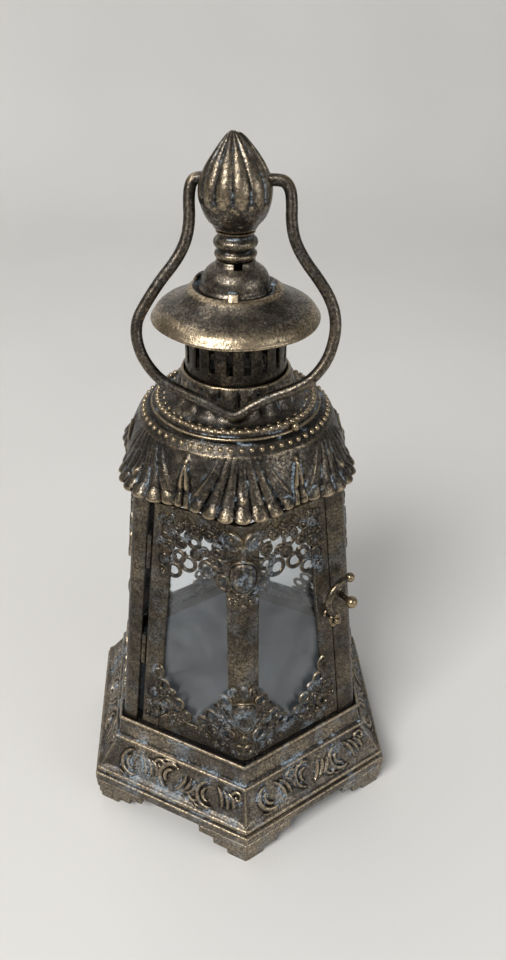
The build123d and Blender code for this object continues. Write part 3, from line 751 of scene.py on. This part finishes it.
def ball(skin, centre, radius, sides=10, squash=1.0):
    """Round bead."""
    centre = np.asarray(centre, float)
    rows = []
    for step in range(1, 7):
        fall = step / 7 * math.pi
        turn = np.linspace(0, 2 * math.pi, sides, endpoint=False)
        ring_r = radius * math.sin(fall)
        rows.append(np.stack([
            centre[0] + ring_r * np.cos(turn), centre[1] + ring_r * np.sin(turn),
            np.full(sides, centre[2] + radius * squash * math.cos(fall)),
        ], axis=1))
    skin.grid(np.array(rows), close_columns=True, caps=True)


def bead_row(skin, count, radius, z, size, start=0.0, squash=1.0):
    """Beads evenly spaced round the axis, from the start in degrees."""
    for k in range(count):
        ball(skin, level(start + 360 * k / count)[0] * radius + [0, 0, z], size, squash=squash)


SHELL_TIP = ((0.0, 44.8, 37.9), (0.155, 41.6, 37.6), (0.375, 38.9, 36.9), (0.615, 36.6, 35.9),
             (0.836, 34.1, 34.0), (1.0, 30.6, 30.6))


def roof_skirt():
    """Scallop shells over the corners, with hanging drops between them, under a row of beads."""
    base_z, top_z = SKIRT_Z
    tall = top_z - base_z
    columns, rows = 1080, 84
    turn = np.linspace(-math.pi, math.pi, columns, endpoint=False)
    off = (np.degrees(turn) + 90 + 30) % 60 - 30
    v = np.linspace(0, 1, rows)[:, None] ** 1.25
    share, tip, valley = (np.array(c) for c in zip(*SHELL_TIP))
    swell = ((1 + np.cos(6 * np.radians(off))) / 2) ** 0.5
    radius = np.interp(v, share, valley) + (np.interp(v, share, tip) - np.interp(v, share, valley)) * swell
    # seven flutes fan out from the top of each shell, and end in round lobes
    spread = 8.5 + 19.5 * np.clip(1 - v, 0, 1) ** 1.1
    fan = off / spread
    inside = np.clip((1.0 - abs(fan)) * 12, 0, 1)
    across = 2 * ((fan * 3.5 + 0.5) % 1.0) - 1
    lobe = np.sqrt(np.clip(1 - across**2, 0, 1))
    grow = np.clip((0.86 - v) / 0.4, 0, 1)
    flute = (lobe - 0.68) * inside * grow * (0.85 + 0.6 * (1 - v))
    lip_v = (v - 0.07) / 0.12
    lip = np.sqrt(np.clip(1 - 0.85 * across**2 - lip_v**2, 0, 1)) * inside * 0.85
    tuck = -1.5 * np.clip(1 - v / 0.05, 0, 1) ** 2
    edge = np.exp(-(((abs(fan) - 1.0) / 0.07) ** 2)) * grow * 0.6
    # a drop hangs in each valley, with a groove down it and a bud above
    from_valley = 30 - abs(off)
    drop_wide = 3.6 * np.clip(np.clip(0.66 - v, 0, 1) / 0.3, 0, 1) ** 0.5 * (1.1 - 0.5 * v)
    drop = np.sqrt(np.clip(1 - (from_valley / np.maximum(drop_wide, 1e-3)) ** 2, 0, 1)) * (drop_wide > 0.05)
    groove = -0.7 * np.exp(-((from_valley / 0.7) ** 2)) * drop
    bud = np.exp(-((from_valley / 1.7) ** 2) - ((v - 0.70) / 0.06) ** 2)
    pinch = -0.7 * np.exp(-(((v - 0.24) / 0.05) ** 2)) * drop
    medal = np.exp(-((off / 2.0) ** 2) - ((v - 0.27) / 0.06) ** 2)
    height = flute + lip + tuck + edge + 1.7 * drop + groove + bud + pinch + 0.8 * medal
    dimple = 0.16 * np.sin(7 * turn + 1.0) * np.sin(9 * v + 0.4) + 0.1 * np.sin(17 * turn) * np.sin(14 * v)
    radius = radius + height + dimple
    hang = (1.1 + 0.7 * (lobe - 0.5)) * inside + 1.7 * drop
    z = base_z + tall * v - hang * np.clip(1 - v, 0, 1) ** 5
    shell = np.stack([radius * np.cos(turn), radius * np.sin(turn), z], axis=-1)
    wall = radius - 1.0
    inner = np.stack([wall * np.cos(turn), wall * np.sin(turn), z], axis=-1)
    skin = Skin()
    skin.grid(np.concatenate([shell, inner[::-1]]), close_rows=True, close_columns=True)
    bead_row(skin, 60, 32.2, top_z - 1.9, 0.98)
    piece = make("roof_skirt", skin, "frame", ROOF, 50, 36, gain=0.9)
    repaint(piece, lambda x, y, z: z > top_z - 0.7 and math.hypot(x, y) < 31.6)


def roof_dome():
    """Groove ring, egg-shaped beads and petals that rise into the collar."""
    z0 = low("roof_dome")[2]
    skin = Skin()
    tall = DOME_Z - z0
    profile = [(r, z0 + h) for r, h in (
        (29.3, 0), (29.9, 1.1), (29.5, 1.9), (28.5, 1.8), (28.3, 2.5), (28.0, 3.3), (27.2, 3.8), (26.0, 3.6),
        (25.3, 3.1), (24.6, 3.2), (23.6, 3.6), (21.8, 5.0), (20.2, 7.2), (19.2, 10.0), (18.7, 13.4),
        (18.6, tall), (17.6, tall), (17.6, 11.0), (19.4, 6.4), (23.0, 2.2), (28.0, 0),
    )]

    def petals(r, z, turn):
        inner = np.clip((23.4 - r) / 2.4, 0, 1) * np.clip((z - z0 - 3.4) / 2.0, 0, 1)
        fade = np.clip((DOME_Z - 0.2 - z) / 2.0, 0, 1)
        wave = abs(np.cos(turn * 9)) ** 0.6
        return r + inner * fade * (1.5 * wave - 0.8), z

    lathe(skin, softened(profile, 0.33, closed=True), 480, petals)
    bead_row(skin, 64, 27.2, z0 + 3.3, 1.15, squash=0.8)
    bead_row(skin, 40, 24.9, z0 + 3.0, 0.85, start=4.5, squash=0.7)
    bead_row(skin, 1, 29.6, z0 + 2.2, 1.4, start=-52, squash=1.2)
    make("roof_dome", skin, "frame", BULB, 50, 20, gain=0.9, most=0.2)


def vent_collar():
    """Collar wall with eighteen tall slots, between two raised bands."""
    z0 = low("vent_collar")[2]
    slots, slot_low, slot_high = 18, 188.65, 198.15
    wide = math.degrees(2.3 / COLLAR_R)
    turns, opens = [], []
    for k in range(slots):
        centre = 360 * k / slots
        for t in (-wide / 2, wide / 2):
            turns.append(centre + t)
            opens.append(t < 0)
        for t in np.linspace(wide / 2, 360 / slots - wide / 2, 7)[1:-1]:
            turns.append(centre + t)
            opens.append(False)
    turn = np.radians(turns)
    zs = np.concatenate([
        np.linspace(z0, slot_low - 0.6, 5), [slot_low], np.linspace(slot_low, slot_high, 8)[1:-1],
        [slot_high], np.linspace(slot_high + 0.6, COLLAR_TOP, 7),
    ])
    beads = sum(0.22 * np.exp(-(((zs[:, None] - z) / 0.7) ** 2)) for z in (186.6, 200.2))
    r = np.broadcast_to(COLLAR_R - 0.25 + beads, (len(zs), len(turn)))
    p = np.stack([r * np.cos(turn), r * np.sin(turn), np.broadcast_to(zs[:, None], r.shape)], axis=-1)
    in_slot = (zs >= slot_low - 0.01) & (zs < slot_high - 0.01)
    skin = Skin()
    skin.grid(p, close_columns=True, skip=lambda i, j, k: in_slot[i] and opens[j])
    make("vent_collar", skin, "frame", SHADED_COLLAR_BRONZE, 40, 3, solid=0.8, gain=0.3)


def cap():
    """Wide spun cap with a rolled rim and a raised seat for the bell."""
    skin = Skin()
    z0 = CAP_Z
    tall = CAP_TOP - z0
    profile = [(r, z0 + h) for r, h in (
        (CAP_R - 0.6, 0.1), (CAP_R, 0.3), (CAP_R, 0.9), (CAP_R - 0.6, 1.5), (26.6, 3.2), (24.6, 4.8),
        (21.8, 5.9), (18.9, 7.1), (16.8, 8.9), (15.6, 10.2), (14.7, tall + 0.1), (13.9, tall + 0.3),
        (13.4, tall - 0.1), (13.0, 9.9), (11.6, 9.7), (3.0, 9.7), (3.0, 8.8), (14.0, 8.8), (17.4, 7.3),
        (20.8, 5.4), (24.6, 3.1), (26.4, 1.2), (26.8, 0.2), (27.2, -0.05),
    )]

    def dents(r, z, turn):
        soft = 0.22 * np.sin(2 * turn + 0.6) + 0.14 * np.sin(5 * turn + 1.7)
        wide = np.clip((r - 15) / 10, 0, 1)
        return r, z + soft * wide

    lathe(skin, softened(profile, 0.5, closed=True), 200, dents)
    for azimuth in (-96, -20, 62, 150):
        tab(skin, azimuth, 12.7, CAP_TOP - 0.4)
    piece = make("cap", skin, "frame", CAP_WITH_PAINTED_HIGHLIGHT, 50, 40, gain=0.5, most=0.16)
    repaint(piece, lambda x, y, z: 11.4 < math.hypot(x, y) < 13.7 and z > z0 + 9.0)


def tab(skin, azimuth, radius, z):
    """Small bent tab that holds one pressed part to another."""
    out, side = level(azimuth)
    spine = [(1.6, 0.1), (0.9, 1.3), (0.1, 2.3), (-0.9, 2.7)]
    rows = []
    for r, h in softened(spine, 0.3):
        ring_points = []
        for u, w in ((-1.7, 0), (-1.4, 0.7), (0, 0.85), (1.4, 0.7), (1.7, 0), (0, -0.5)):
            ring_points.append(out * (radius + r + w) + side * u + np.array([0, 0, z + h + w * 0.5]))
        rows.append(ring_points)
    skin.grid(np.array(rows), close_columns=True, caps=True)


def bell_dome():
    """Half-round dome with a small square hole at the front and a flat foot."""
    z0 = low("bell_dome")[2]
    skin = Skin()
    tall = BELL_Z - z0
    profile = [(r, z0 + h) for r, h in (
        (11.9, 0.05), (12.0, 0.6), (11.4, 1.1), (11.1, 1.9), (11.0, 3.2), (10.5, 4.9), (9.5, 6.4), (8.0, 7.5),
        (6.9, 8.2), (6.4, 9.0), (6.3, tall - 0.1), (5.0, tall), (2.2, tall),
    )]
    smooth = softened(profile, 0.4)
    sides = 150
    turn = np.linspace(0, 2 * math.pi, sides, endpoint=False)
    p = np.stack([smooth[:, :1] * np.cos(turn), smooth[:, :1] * np.sin(turn),
                  np.repeat(smooth[:, 1:], sides, axis=1)], axis=-1)
    x, z = p[..., 0], p[..., 2]
    hole = (abs(x - 0.5) < 1.6) & (z > z0 + 8.0) & (z < z0 + 9.85) & (p[..., 1] < 0)
    skin.grid(p, close_columns=True, skip=lambda i, j, k: hole[i:i + 2, [j, k]].all())
    make("bell_dome", skin, "frame", CAP_WITH_PAINTED_HIGHLIGHT, 50, 8, solid=0.9, gain=0.5, most=0.2)


def neck():
    """Two soft rings under the bulb."""
    skin = Skin()
    tall = high("neck")[2] - NECK_Z
    profile = [(r, NECK_Z + h) for r, h in (
        (2.0, 0), (5.6, 0), (6.5, 0.6), (6.9, 1.6), (6.7, 2.3), (5.9, 2.8), (5.8, 3.3), (6.7, 4.1), (7.2, 5.1),
        (7.0, 6.2), (6.2, 6.9), (5.6, 7.4), (5.8, 8.1), (6.4, 8.6), (6.3, tall), (2.0, tall),
    )]
    lathe(skin, softened(profile, 0.4, closed=True), 96)
    make("neck", skin, "frame", BULB, 50, 10, gain=0.7, most=0.2)


def finial():
    """Pressed bulb in two halves that meet a little out of line."""
    place, axis = joint("bail_pivot")
    seam = math.atan2(-axis[1], -axis[0])
    z0 = BULB_LOW
    tall = BULB_HIGH - z0
    profile = [(r, z0 + h) for r, h in (
        (5.4, 0.1), (6.6, 0.3), (7.0, 0.9), (7.3, 1.6), (8.5, 2.8), (10.2, 5.6), (11.2, 8.6), (11.55, 11.6),
        (11.1, 14.6), (9.8, 17.5), (8.1, 20.3), (5.9, 23.1), (3.6, 26.0), (1.9, 27.8), (0.6, tall),
        (0.15, tall),
    )]
    smooth = softened(profile, 0.36)
    share = (smooth[:, 1:] - z0) / tall
    sides, near_seam = 120, 12
    across = np.array([-math.sin(seam), math.cos(seam), 0.0])
    for name, sign in (("finial_front", -1), ("finial_back", 1)):
        turn = seam + sign * np.linspace(0, math.pi, sides)
        round_seam = turn[None, :] - seam
        wave = abs(np.sin(round_seam * 6)) ** 0.6
        start = 0.27 + 0.05 * (1 - wave)
        above = np.clip((share - start) / 0.035, 0, 1) * np.clip((1.04 - share) / 0.22, 0, 1)
        r = smooth[:, :1] + above * (1.15 * wave - 1.0)
        r = np.maximum(r, 0.05)
        r = r + 0.25 * np.clip((0.26 - share) / 0.1, 0, 1) * np.cos(round_seam * 7) * (share > 0.1)
        lean = np.clip((share - 0.45) / 0.55, 0, 1) ** 1.5
        shift = (0.75 if sign > 0 else -0.7) * lean
        drop = 0.5 * np.clip((share - 0.8) / 0.2, 0, 1) * (sign > 0)
        p = np.stack([r * np.cos(turn) + shift, r * np.sin(turn),
                      np.broadcast_to(smooth[:, 1:] - drop, r.shape)], axis=-1)
        p = p + across * 0.08 * sign

        def bore(i, j, k):
            """Whether a quad lies in the hole for the bail's end, beside the seam."""
            by_hole = abs(p[i, j] @ across) < 1.9 and abs(p[i, j, 2] + 0.18 - place[2]) < 1.75
            return by_hole and not near_seam <= j <= sides - near_seam - 1

        skin = Skin()
        skin.grid(p, skip=bore)
        make(name, skin, "frame", BULB, 60, 30, solid=1.1)


# ---- bail and latch --------------------------------------------------------------------
def tube(skin, path, radius, sides=20):
    """Round bar along a path, with softened ends."""
    path = np.asarray(path, float)
    ahead = np.gradient(path, axis=0)
    ahead /= np.linalg.norm(ahead, axis=1, keepdims=True)
    side = np.cross(ahead[0], [0.31, 0.57, 0.76])
    radius = np.broadcast_to(radius, len(path)).copy()
    turn = np.linspace(0, 2 * math.pi, sides, endpoint=False)
    rows = []
    for k, point in enumerate(path):
        side = side - ahead[k] * (side @ ahead[k])
        side /= np.linalg.norm(side)
        up = np.cross(ahead[k], side)
        rows.append(point + radius[k] * (np.cos(turn)[:, None] * side + np.sin(turn)[:, None] * up))
    first, last = rows[0], rows[-1]
    start = path[0] + (first - path[0]) * 0.6 - ahead[0] * radius[0] * 0.3
    end = path[-1] + (last - path[-1]) * 0.6 + ahead[-1] * radius[-1] * 0.3
    skin.grid(np.array([start, *rows, end]), close_columns=True, caps=True)


def bail():
    """Bent wire handle whose ends turn into the finial."""
    place, axis = joint("bail_pivot")
    sideways = -axis
    tilt = math.radians(18.7)
    front = np.array([sideways[1], -sideways[0], 0.0])
    down = front * math.sin(tilt) - np.array([0, 0, math.cos(tilt)])
    right = [
        (8.8, 0), (13.4, 0), (15.2, 0.5), (16.8, 2.8), (17.3, 7.0), (17.3, 11.6), (18.5, 17.4), (21.9, 23.2),
        (26.7, 28.9), (30.7, 34.9), (32.5, 40.9), (32.2, 47.2), (30.2, 53.8), (25.6, 59.9), (19.0, 63.5),
        (11.8, 66.2), (6.6, 69.2), (2.4, 72.2),
    ]
    left = [
        (-8.8, 0), (-11.4, -0.1), (-13.1, 0.6), (-13.9, 3.0), (-14.1, 6.6), (-13.8, 12.2), (-14.7, 18.1),
        (-17.7, 24.1), (-22.7, 30.3), (-26.8, 36.5), (-30.4, 42.8), (-30.5, 49.2), (-28.0, 55.6),
        (-22.9, 61.5), (-17.0, 64.6), (-10.0, 67.4), (-4.2, 70.1), (-0.4, 72.2),
    ]
    path = softened(right + left[::-1], 0.7, rounds=3)
    skin = Skin()
    tube(skin, place + path[:, :1] * sideways + path[:, 1:] * down, 1.85, 22)
    make("bail", skin, "bail", WIRE, 60, 5)


def latch():
    """Bent hook, its rivet and the stud it goes round."""
    face = Face(-60)
    place, _ = joint("latch_pivot")
    gap = place - face.origin
    px, py = gap @ face.along, gap @ face.up
    bend_x, bend_y, bend_r = px + 4.8, py + 7.6, 7.6
    turn = np.radians(np.linspace(-122, -264, 40))
    arc = np.stack([bend_x + bend_r * np.cos(turn), bend_y + bend_r * np.sin(turn)], axis=1)
    last = turn[-1]
    tail = arc[-1] + np.outer(np.linspace(0.3, 3.4, 8), [math.sin(last), -math.cos(last)])
    line = np.concatenate([arc, tail])
    skin = Skin()
    thick = 1.12 + 0.2 * np.sin(np.linspace(0, math.pi, len(line)))
    tube(skin, face(line[:, 0], line[:, 1], 4.0), thick, 16)
    end = face(tail[-1][0], tail[-1][1], 4.0)
    ball(skin, end, 1.85, 16)
    ball(skin, face(*arc[1], 4.2), 1.45, 12)
    ball(skin, face(px - 1.0, py - 1.6, 4.2), 1.25, 12)
    eye = ring((px, py), 1.75)
    tube(skin, face(*np.concatenate([eye, eye[:1]]).T, 4.0), 0.95, 12)
    make("latch_hook", skin, "latch", BRASS, 50, 5, gain=0.6)
    skin = Skin()
    boss(skin, face, (px, py), 2.2, 1.2, rings=5, sides=20)
    tube(skin, face(px, py, np.linspace(0.2, 5.2, 6)), 0.85, 14)
    ball(skin, face(px, py, 5.6), 1.4, 14)
    make("latch_rivet", skin, "door", BRASS, 50, 5, gain=0.6)
    skin = Skin()
    sx, sy = px + 6.0, py + 6.4
    boss(skin, face, (sx, sy), 2.9, 0.9, rings=5, sides=24)
    tube(skin, face(sx, sy, np.linspace(0.2, 5.4, 6)), 1.1, 14)
    ball(skin, face(sx, sy, 6.6), 2.35, 18)
    make("latch_stud", skin, "frame", BRASS, 50, 5, gain=0.6)


# ---- materials ------------------------------------------------------------------------------
class Nodes:
    """Short ways to add and join shader nodes."""

    def __init__(self, name):
        self.material = bpy.data.materials.new(name)
        self.material.use_nodes = True
        self.tree = self.material.node_tree
        self.shader = self.tree.nodes["Principled BSDF"]
        self.output = self.tree.nodes["Material Output"]
        self.place = self.add("ShaderNodeTexCoord").outputs["Object"]

    def add(self, kind, **settings):
        node = self.tree.nodes.new(kind)
        for key, value in settings.items():
            setattr(node, key, value)
        return node

    def join(self, source, target):
        self.tree.links.new(source, target)

    def noise(self, scale, detail=4.0, rough=0.6, warp=0.0):
        node = self.add("ShaderNodeTexNoise")
        self.join(self.place, node.inputs["Vector"])
        node.inputs["Scale"].default_value = scale
        node.inputs["Detail"].default_value = detail
        node.inputs["Roughness"].default_value = rough
        node.inputs["Distortion"].default_value = warp
        return node.outputs["Fac"]

    def math(self, operation, a, b, clamp=False):
        node = self.add("ShaderNodeMath", operation=operation, use_clamp=clamp)
        for socket, value in zip(node.inputs, (a, b)):
            if isinstance(value, (int, float)):
                socket.default_value = value
            else:
                self.join(value, socket)
        return node.outputs[0]

    def times(self, a, b, clamp=False):
        return self.math("MULTIPLY", a, b, clamp)

    def plus(self, a, b):
        return self.math("ADD", a, b)

    def span(self, value, start, stop, low=0.0, high=1.0):
        node = self.add("ShaderNodeMapRange", interpolation_type="SMOOTHSTEP")
        self.join(value, node.inputs["Value"])
        for key, number in zip(("From Min", "From Max", "To Min", "To Max"), (start, stop, low, high)):
            node.inputs[key].default_value = number
        return node.outputs["Result"]

    def ramp(self, value, *stops):
        node = self.add("ShaderNodeValToRGB")
        self.join(value, node.inputs["Fac"])
        items = node.color_ramp.elements
        while len(items) < len(stops):
            items.new(0.5)
        for item, (at, colour) in zip(items, stops):
            item.position, item.color = at, (*colour, 1)
        return node.outputs["Color"]

    def mix(self, share, a, b):
        node = self.add("ShaderNodeMix", data_type="RGBA")
        for key, value in ((0, share), (6, a), (7, b)):
            if isinstance(value, tuple):
                node.inputs[key].default_value = (*value, 1)
            else:
                self.join(value, node.inputs[key])
        return node.outputs[2]

    def relief(self):
        return self.add("ShaderNodeAttribute", attribute_name="relief").outputs["Fac"]

    def bump(self, height, depth, before=None):
        node = self.add("ShaderNodeBump")
        node.inputs["Distance"].default_value = depth
        node.inputs["Strength"].default_value = 1.0
        self.join(height, node.inputs["Height"])
        if before is not None:
            self.join(before, node.inputs["Normal"])
        return node.outputs["Normal"]


def antique(name, bloom=0.5, wear=1.0, rough=0.40, warm=1.0, light=1.0, grain=1.0, patches=0.5, film=0.05,
            calm=1.0):
    """Antique metal: speckled dark brown, rubbed gold on high spots, pale bloom in the grooves, and painted
    shade darkening the hollows.
    """
    n = Nodes(name)

    def tint(red, green, blue):
        return (red * light * (0.9 + 0.1 * warm), green * light, blue * light * (1.25 - 0.25 * warm))

    relief = n.relief()
    grainy = n.noise(1150, 8, 0.74)
    mottle = n.noise(330, 6, 0.66, 0.2)
    patch = n.noise(48, 5, 0.6)
    tone = n.plus(n.times(grainy, 0.52), n.times(mottle, 0.26))
    tone = n.plus(tone, n.times(patch, 0.22))
    shades = ((-0.10, tint(0.014, 0.0125, 0.011)), (-0.01, tint(0.050, 0.043, 0.035)),
              (0.055, tint(0.115, 0.097, 0.074)), (0.14, tint(0.27, 0.22, 0.15)))
    colour = n.ramp(tone, *[(0.5 + place * calm, shade) for place, shade in shades])
    gold = tint(0.43, 0.335, 0.21)
    broken = n.times(n.math("SUBTRACT", grainy, 0.5), 0.5)
    worn = n.span(n.plus(relief, broken), 0.05 / wear, 0.30 / wear)
    rubbed = n.times(n.span(patch, 0.48, 0.68), n.span(grainy, 0.45, 0.60))
    worn = n.math("MAXIMUM", n.times(worn, 0.8), n.times(rubbed, patches))
    colour = n.mix(worn, colour, gold)
    shaded_hollow = n.span(n.plus(relief, n.times(broken, 0.4)), -0.02, -0.20)
    # painted shade: the hollows are darkened towards near-black
    colour = n.mix(n.times(shaded_hollow, 0.85), colour, tint(0.007, 0.0065, 0.006))
    haze = n.noise(105, 5, 0.7, 0.5)
    laid = n.times(n.plus(shaded_hollow, film), n.span(haze, 0.49, 0.63), clamp=True)
    laid = n.times(n.times(laid, n.span(grainy, 0.38, 0.58)), bloom, clamp=True)
    laid = n.times(laid, n.span(relief, -0.5, -0.3))
    colour = n.mix(laid, colour, (0.24, 0.30, 0.355))
    n.join(colour, n.shader.inputs["Base Color"])
    n.join(n.math("SUBTRACT", 0.92, n.times(laid, 0.8), clamp=True), n.shader.inputs["Metallic"])
    shine = n.plus(n.span(grainy, 0.35, 0.65, rough + 0.14, rough - 0.08), n.times(laid, 0.3))
    shine = n.math("SUBTRACT", shine, n.times(worn, 0.08), clamp=True)
    n.join(shine, n.shader.inputs["Roughness"])
    coarse = n.bump(mottle, 0.00012 * grain)
    n.join(n.bump(grainy, 0.00008 * grain, coarse), n.shader.inputs["Normal"])
    return n.material


def clear_glass():
    """Window glass with a little dust; lamps shine through it."""
    n = Nodes("dusty_glass")
    dust = n.noise(90, 5, 0.6)
    n.shader.inputs["Base Color"].default_value = (0.93, 0.96, 0.98, 1)
    n.shader.inputs["Transmission Weight"].default_value = 1.0
    n.shader.inputs["IOR"].default_value = 1.45
    n.join(n.span(dust, 0.35, 0.7, 0.0, 0.06), n.shader.inputs["Roughness"])
    film = n.add("ShaderNodeBsdfDiffuse")
    film.inputs["Color"].default_value = (0.72, 0.76, 0.80, 1)
    dusty = n.add("ShaderNodeMixShader")
    n.join(n.span(dust, 0.35, 0.75, 0.0, 0.035), dusty.inputs["Fac"])
    n.join(n.shader.outputs["BSDF"], dusty.inputs[1])
    n.join(film.outputs["BSDF"], dusty.inputs[2])
    open_way = n.add("ShaderNodeBsdfTransparent")
    path = n.add("ShaderNodeLightPath")
    passes = n.math("MAXIMUM", path.outputs["Is Shadow Ray"], path.outputs["Is Diffuse Ray"])
    choose = n.add("ShaderNodeMixShader")
    n.join(passes, choose.inputs["Fac"])
    n.join(dusty.outputs["Shader"], choose.inputs[1])
    n.join(open_way.outputs["BSDF"], choose.inputs[2])
    n.join(choose.outputs["Shader"], n.output.inputs["Surface"])
    return n.material


def grey_plate():
    """Grey painted sheet of the floor, a little scuffed."""
    n = Nodes("grey_floor")
    broad, fine = n.noise(45, 4, 0.5), n.noise(700, 4, 0.7)
    paint = n.ramp(broad, (0.3, (0.036, 0.043, 0.053)), (0.7, (0.058, 0.067, 0.080)))
    n.join(paint, n.shader.inputs["Base Color"])
    n.shader.inputs["Metallic"].default_value = 0.2
    n.join(n.span(fine, 0.3, 0.7, 0.42, 0.6), n.shader.inputs["Roughness"])
    n.join(n.bump(fine, 0.00004), n.shader.inputs["Normal"])
    return n.material


BRONZE = antique("plinth_bronze", 1.6, wear=0.9, rough=0.40, warm=0.95, light=1.85, grain=0.8, patches=0.34,
                 film=0.3, calm=1.5)
ROOF = antique("roof_bronze", 1.4, wear=1.0, rough=0.32, warm=1.0, light=1.0, patches=0.3, film=0.06)
# painted highlight: the cap and the bell get a brighter copy of the bronze, standing in for the light the cap
# catches at its lower front
CAP_WITH_PAINTED_HIGHLIGHT = antique("cap_bronze_painted_highlight", 1.3, wear=1.0, rough=0.31, warm=1.05, light=1.75, patches=0.4, film=0.03)
BULB = antique("bulb_bronze", 1.2, wear=0.9, rough=0.31, warm=1.05, light=1.4, patches=0.35, film=0.06)
# painted shade: the collar's copper-brown bronze is darkened, so the inside seen through the slots looks dark
SHADED_COLLAR_BRONZE = antique("collar_bronze_painted_shade", 0.6, wear=0.6, rough=0.38, warm=1.3, light=0.6, patches=0.6)
POST = antique("post_bronze", 1.1, wear=0.6, rough=0.38, warm=1.3, light=1.1, grain=0.7, patches=0.22,
               film=0.16, calm=1.25)
LACE = antique("lace_bronze_finish", 2.2, wear=0.9, rough=0.38, warm=0.8, light=0.95, patches=0.2, film=0.34)
WIRE = antique("wire_bronze", 0.9, wear=0.8, rough=0.34, warm=0.9, light=1.0, grain=0.8, patches=0.35,
               film=0.12)
BRASS = antique("latch_brass_finish", 0.5, wear=1.0, rough=0.30, warm=1.2, light=0.95, grain=0.7, patches=0.4)
STEEL = antique("dull_steel", 0.3, wear=0.5, rough=0.40, warm=0.3, light=1.5)
GLASS, PLATE = clear_glass(), grey_plate()

SHOWN_MATERIALS = {
    "floor_plate": PLATE, "top_ring": POST, "centre_screw": STEEL, "hinge_pins": STEEL,
    "hinge_frame_leaves": POST, "hinge_door_leaves": POST, "door_glass_clips": STEEL,
    "frame_glass_clips": STEEL,
}


def finish_cad_nodes():
    """Gives every CAD node that stays in view its procedural finish."""
    for name, node in frame["nodes"].items():
        if node.hide_render:
            continue
        material = GLASS if name.startswith("glass_") else SHOWN_MATERIALS[name]
        node.data.materials.clear()
        node.data.materials.append(material)


# ---- stage ---------------------------------------------------------------------------------
def floor_and_light():
    """Plain pale floor that curves up behind, and soft studio light."""
    skin = Skin()
    outline = [(-2500, 0), (560, 0), (900, 20), (1000, 260), (1040, 2600)]
    line = softened(outline, 40, rounds=4)
    xs = np.linspace(-4000, 4000, 9)
    p = np.array([[(x, y, z) for x in xs] for y, z in line])
    skin.grid(p)
    mesh = skin.mesh("floor")
    n = Nodes("pale_floor")
    pale = n.ramp(n.noise(3, 2), (0.3, (0.645, 0.635, 0.615)), (0.7, (0.685, 0.675, 0.655)))
    n.join(pale, n.shader.inputs["Base Color"])
    n.shader.inputs["Roughness"].default_value = 0.85
    mesh.materials.append(n.material)
    placed("floor", mesh)
    for name, size, power, place, colour in (
        ("key", (0.65, 0.55), 22.5, (-0.62, -0.86, 1.25), (1.0, 0.985, 0.965)),
        ("fill", (0.7, 0.5), 3.2, (0.9, -0.7, 0.55), (0.96, 0.98, 1.0)),
        ("back", (1.4, 0.5), 3.6, (-0.5, 0.45, 1.3), (1.0, 0.99, 0.98)),
    ):
        data = bpy.data.lights.new(name, "AREA")
        data.shape, data.size, data.size_y = "RECTANGLE", *size
        data.energy, data.color = power, colour
        lamp = placed(name, data)
        lamp.location = place
        aim = Vector((0, 0, 0.12)) - Vector(place)
        lamp.rotation_euler = aim.to_track_quat("-Z", "Y").to_euler()
    world = bpy.data.worlds.new("studio")
    bpy.context.scene.world = world
    world.use_nodes = True
    sky = world.node_tree.nodes["Background"]
    sky.inputs["Color"].default_value = (0.86, 0.87, 0.90, 1)
    sky.inputs["Strength"].default_value = 0.26
    bpy.context.scene.view_settings.view_transform = "Standard"


def camera():
    """Camera above and in front of the door, a little to the left, looking down."""
    data = bpy.data.cameras.new("view")
    data.lens, data.sensor_width = 30.5, 36.0
    eye = placed("view", data)
    right = Vector((0.9974, -0.0714, 0.0097))
    forward = Vector((0.0649, 0.8310, -0.5525))
    up = right.cross(forward)
    turn = Matrix((right, up, -forward)).transposed().to_4x4()
    eye.matrix_world = Matrix.Translation((-0.01347, -0.25358, 0.30597)) @ turn
    bpy.context.scene.camera = eye


plinth()
feet()
body_frame()
lace_pieces()
roof_skirt()
roof_dome()
vent_collar()
cap()
bell_dome()
neck()
finial()
bail()
latch()
finish_cad_nodes()
floor_and_light()
camera()
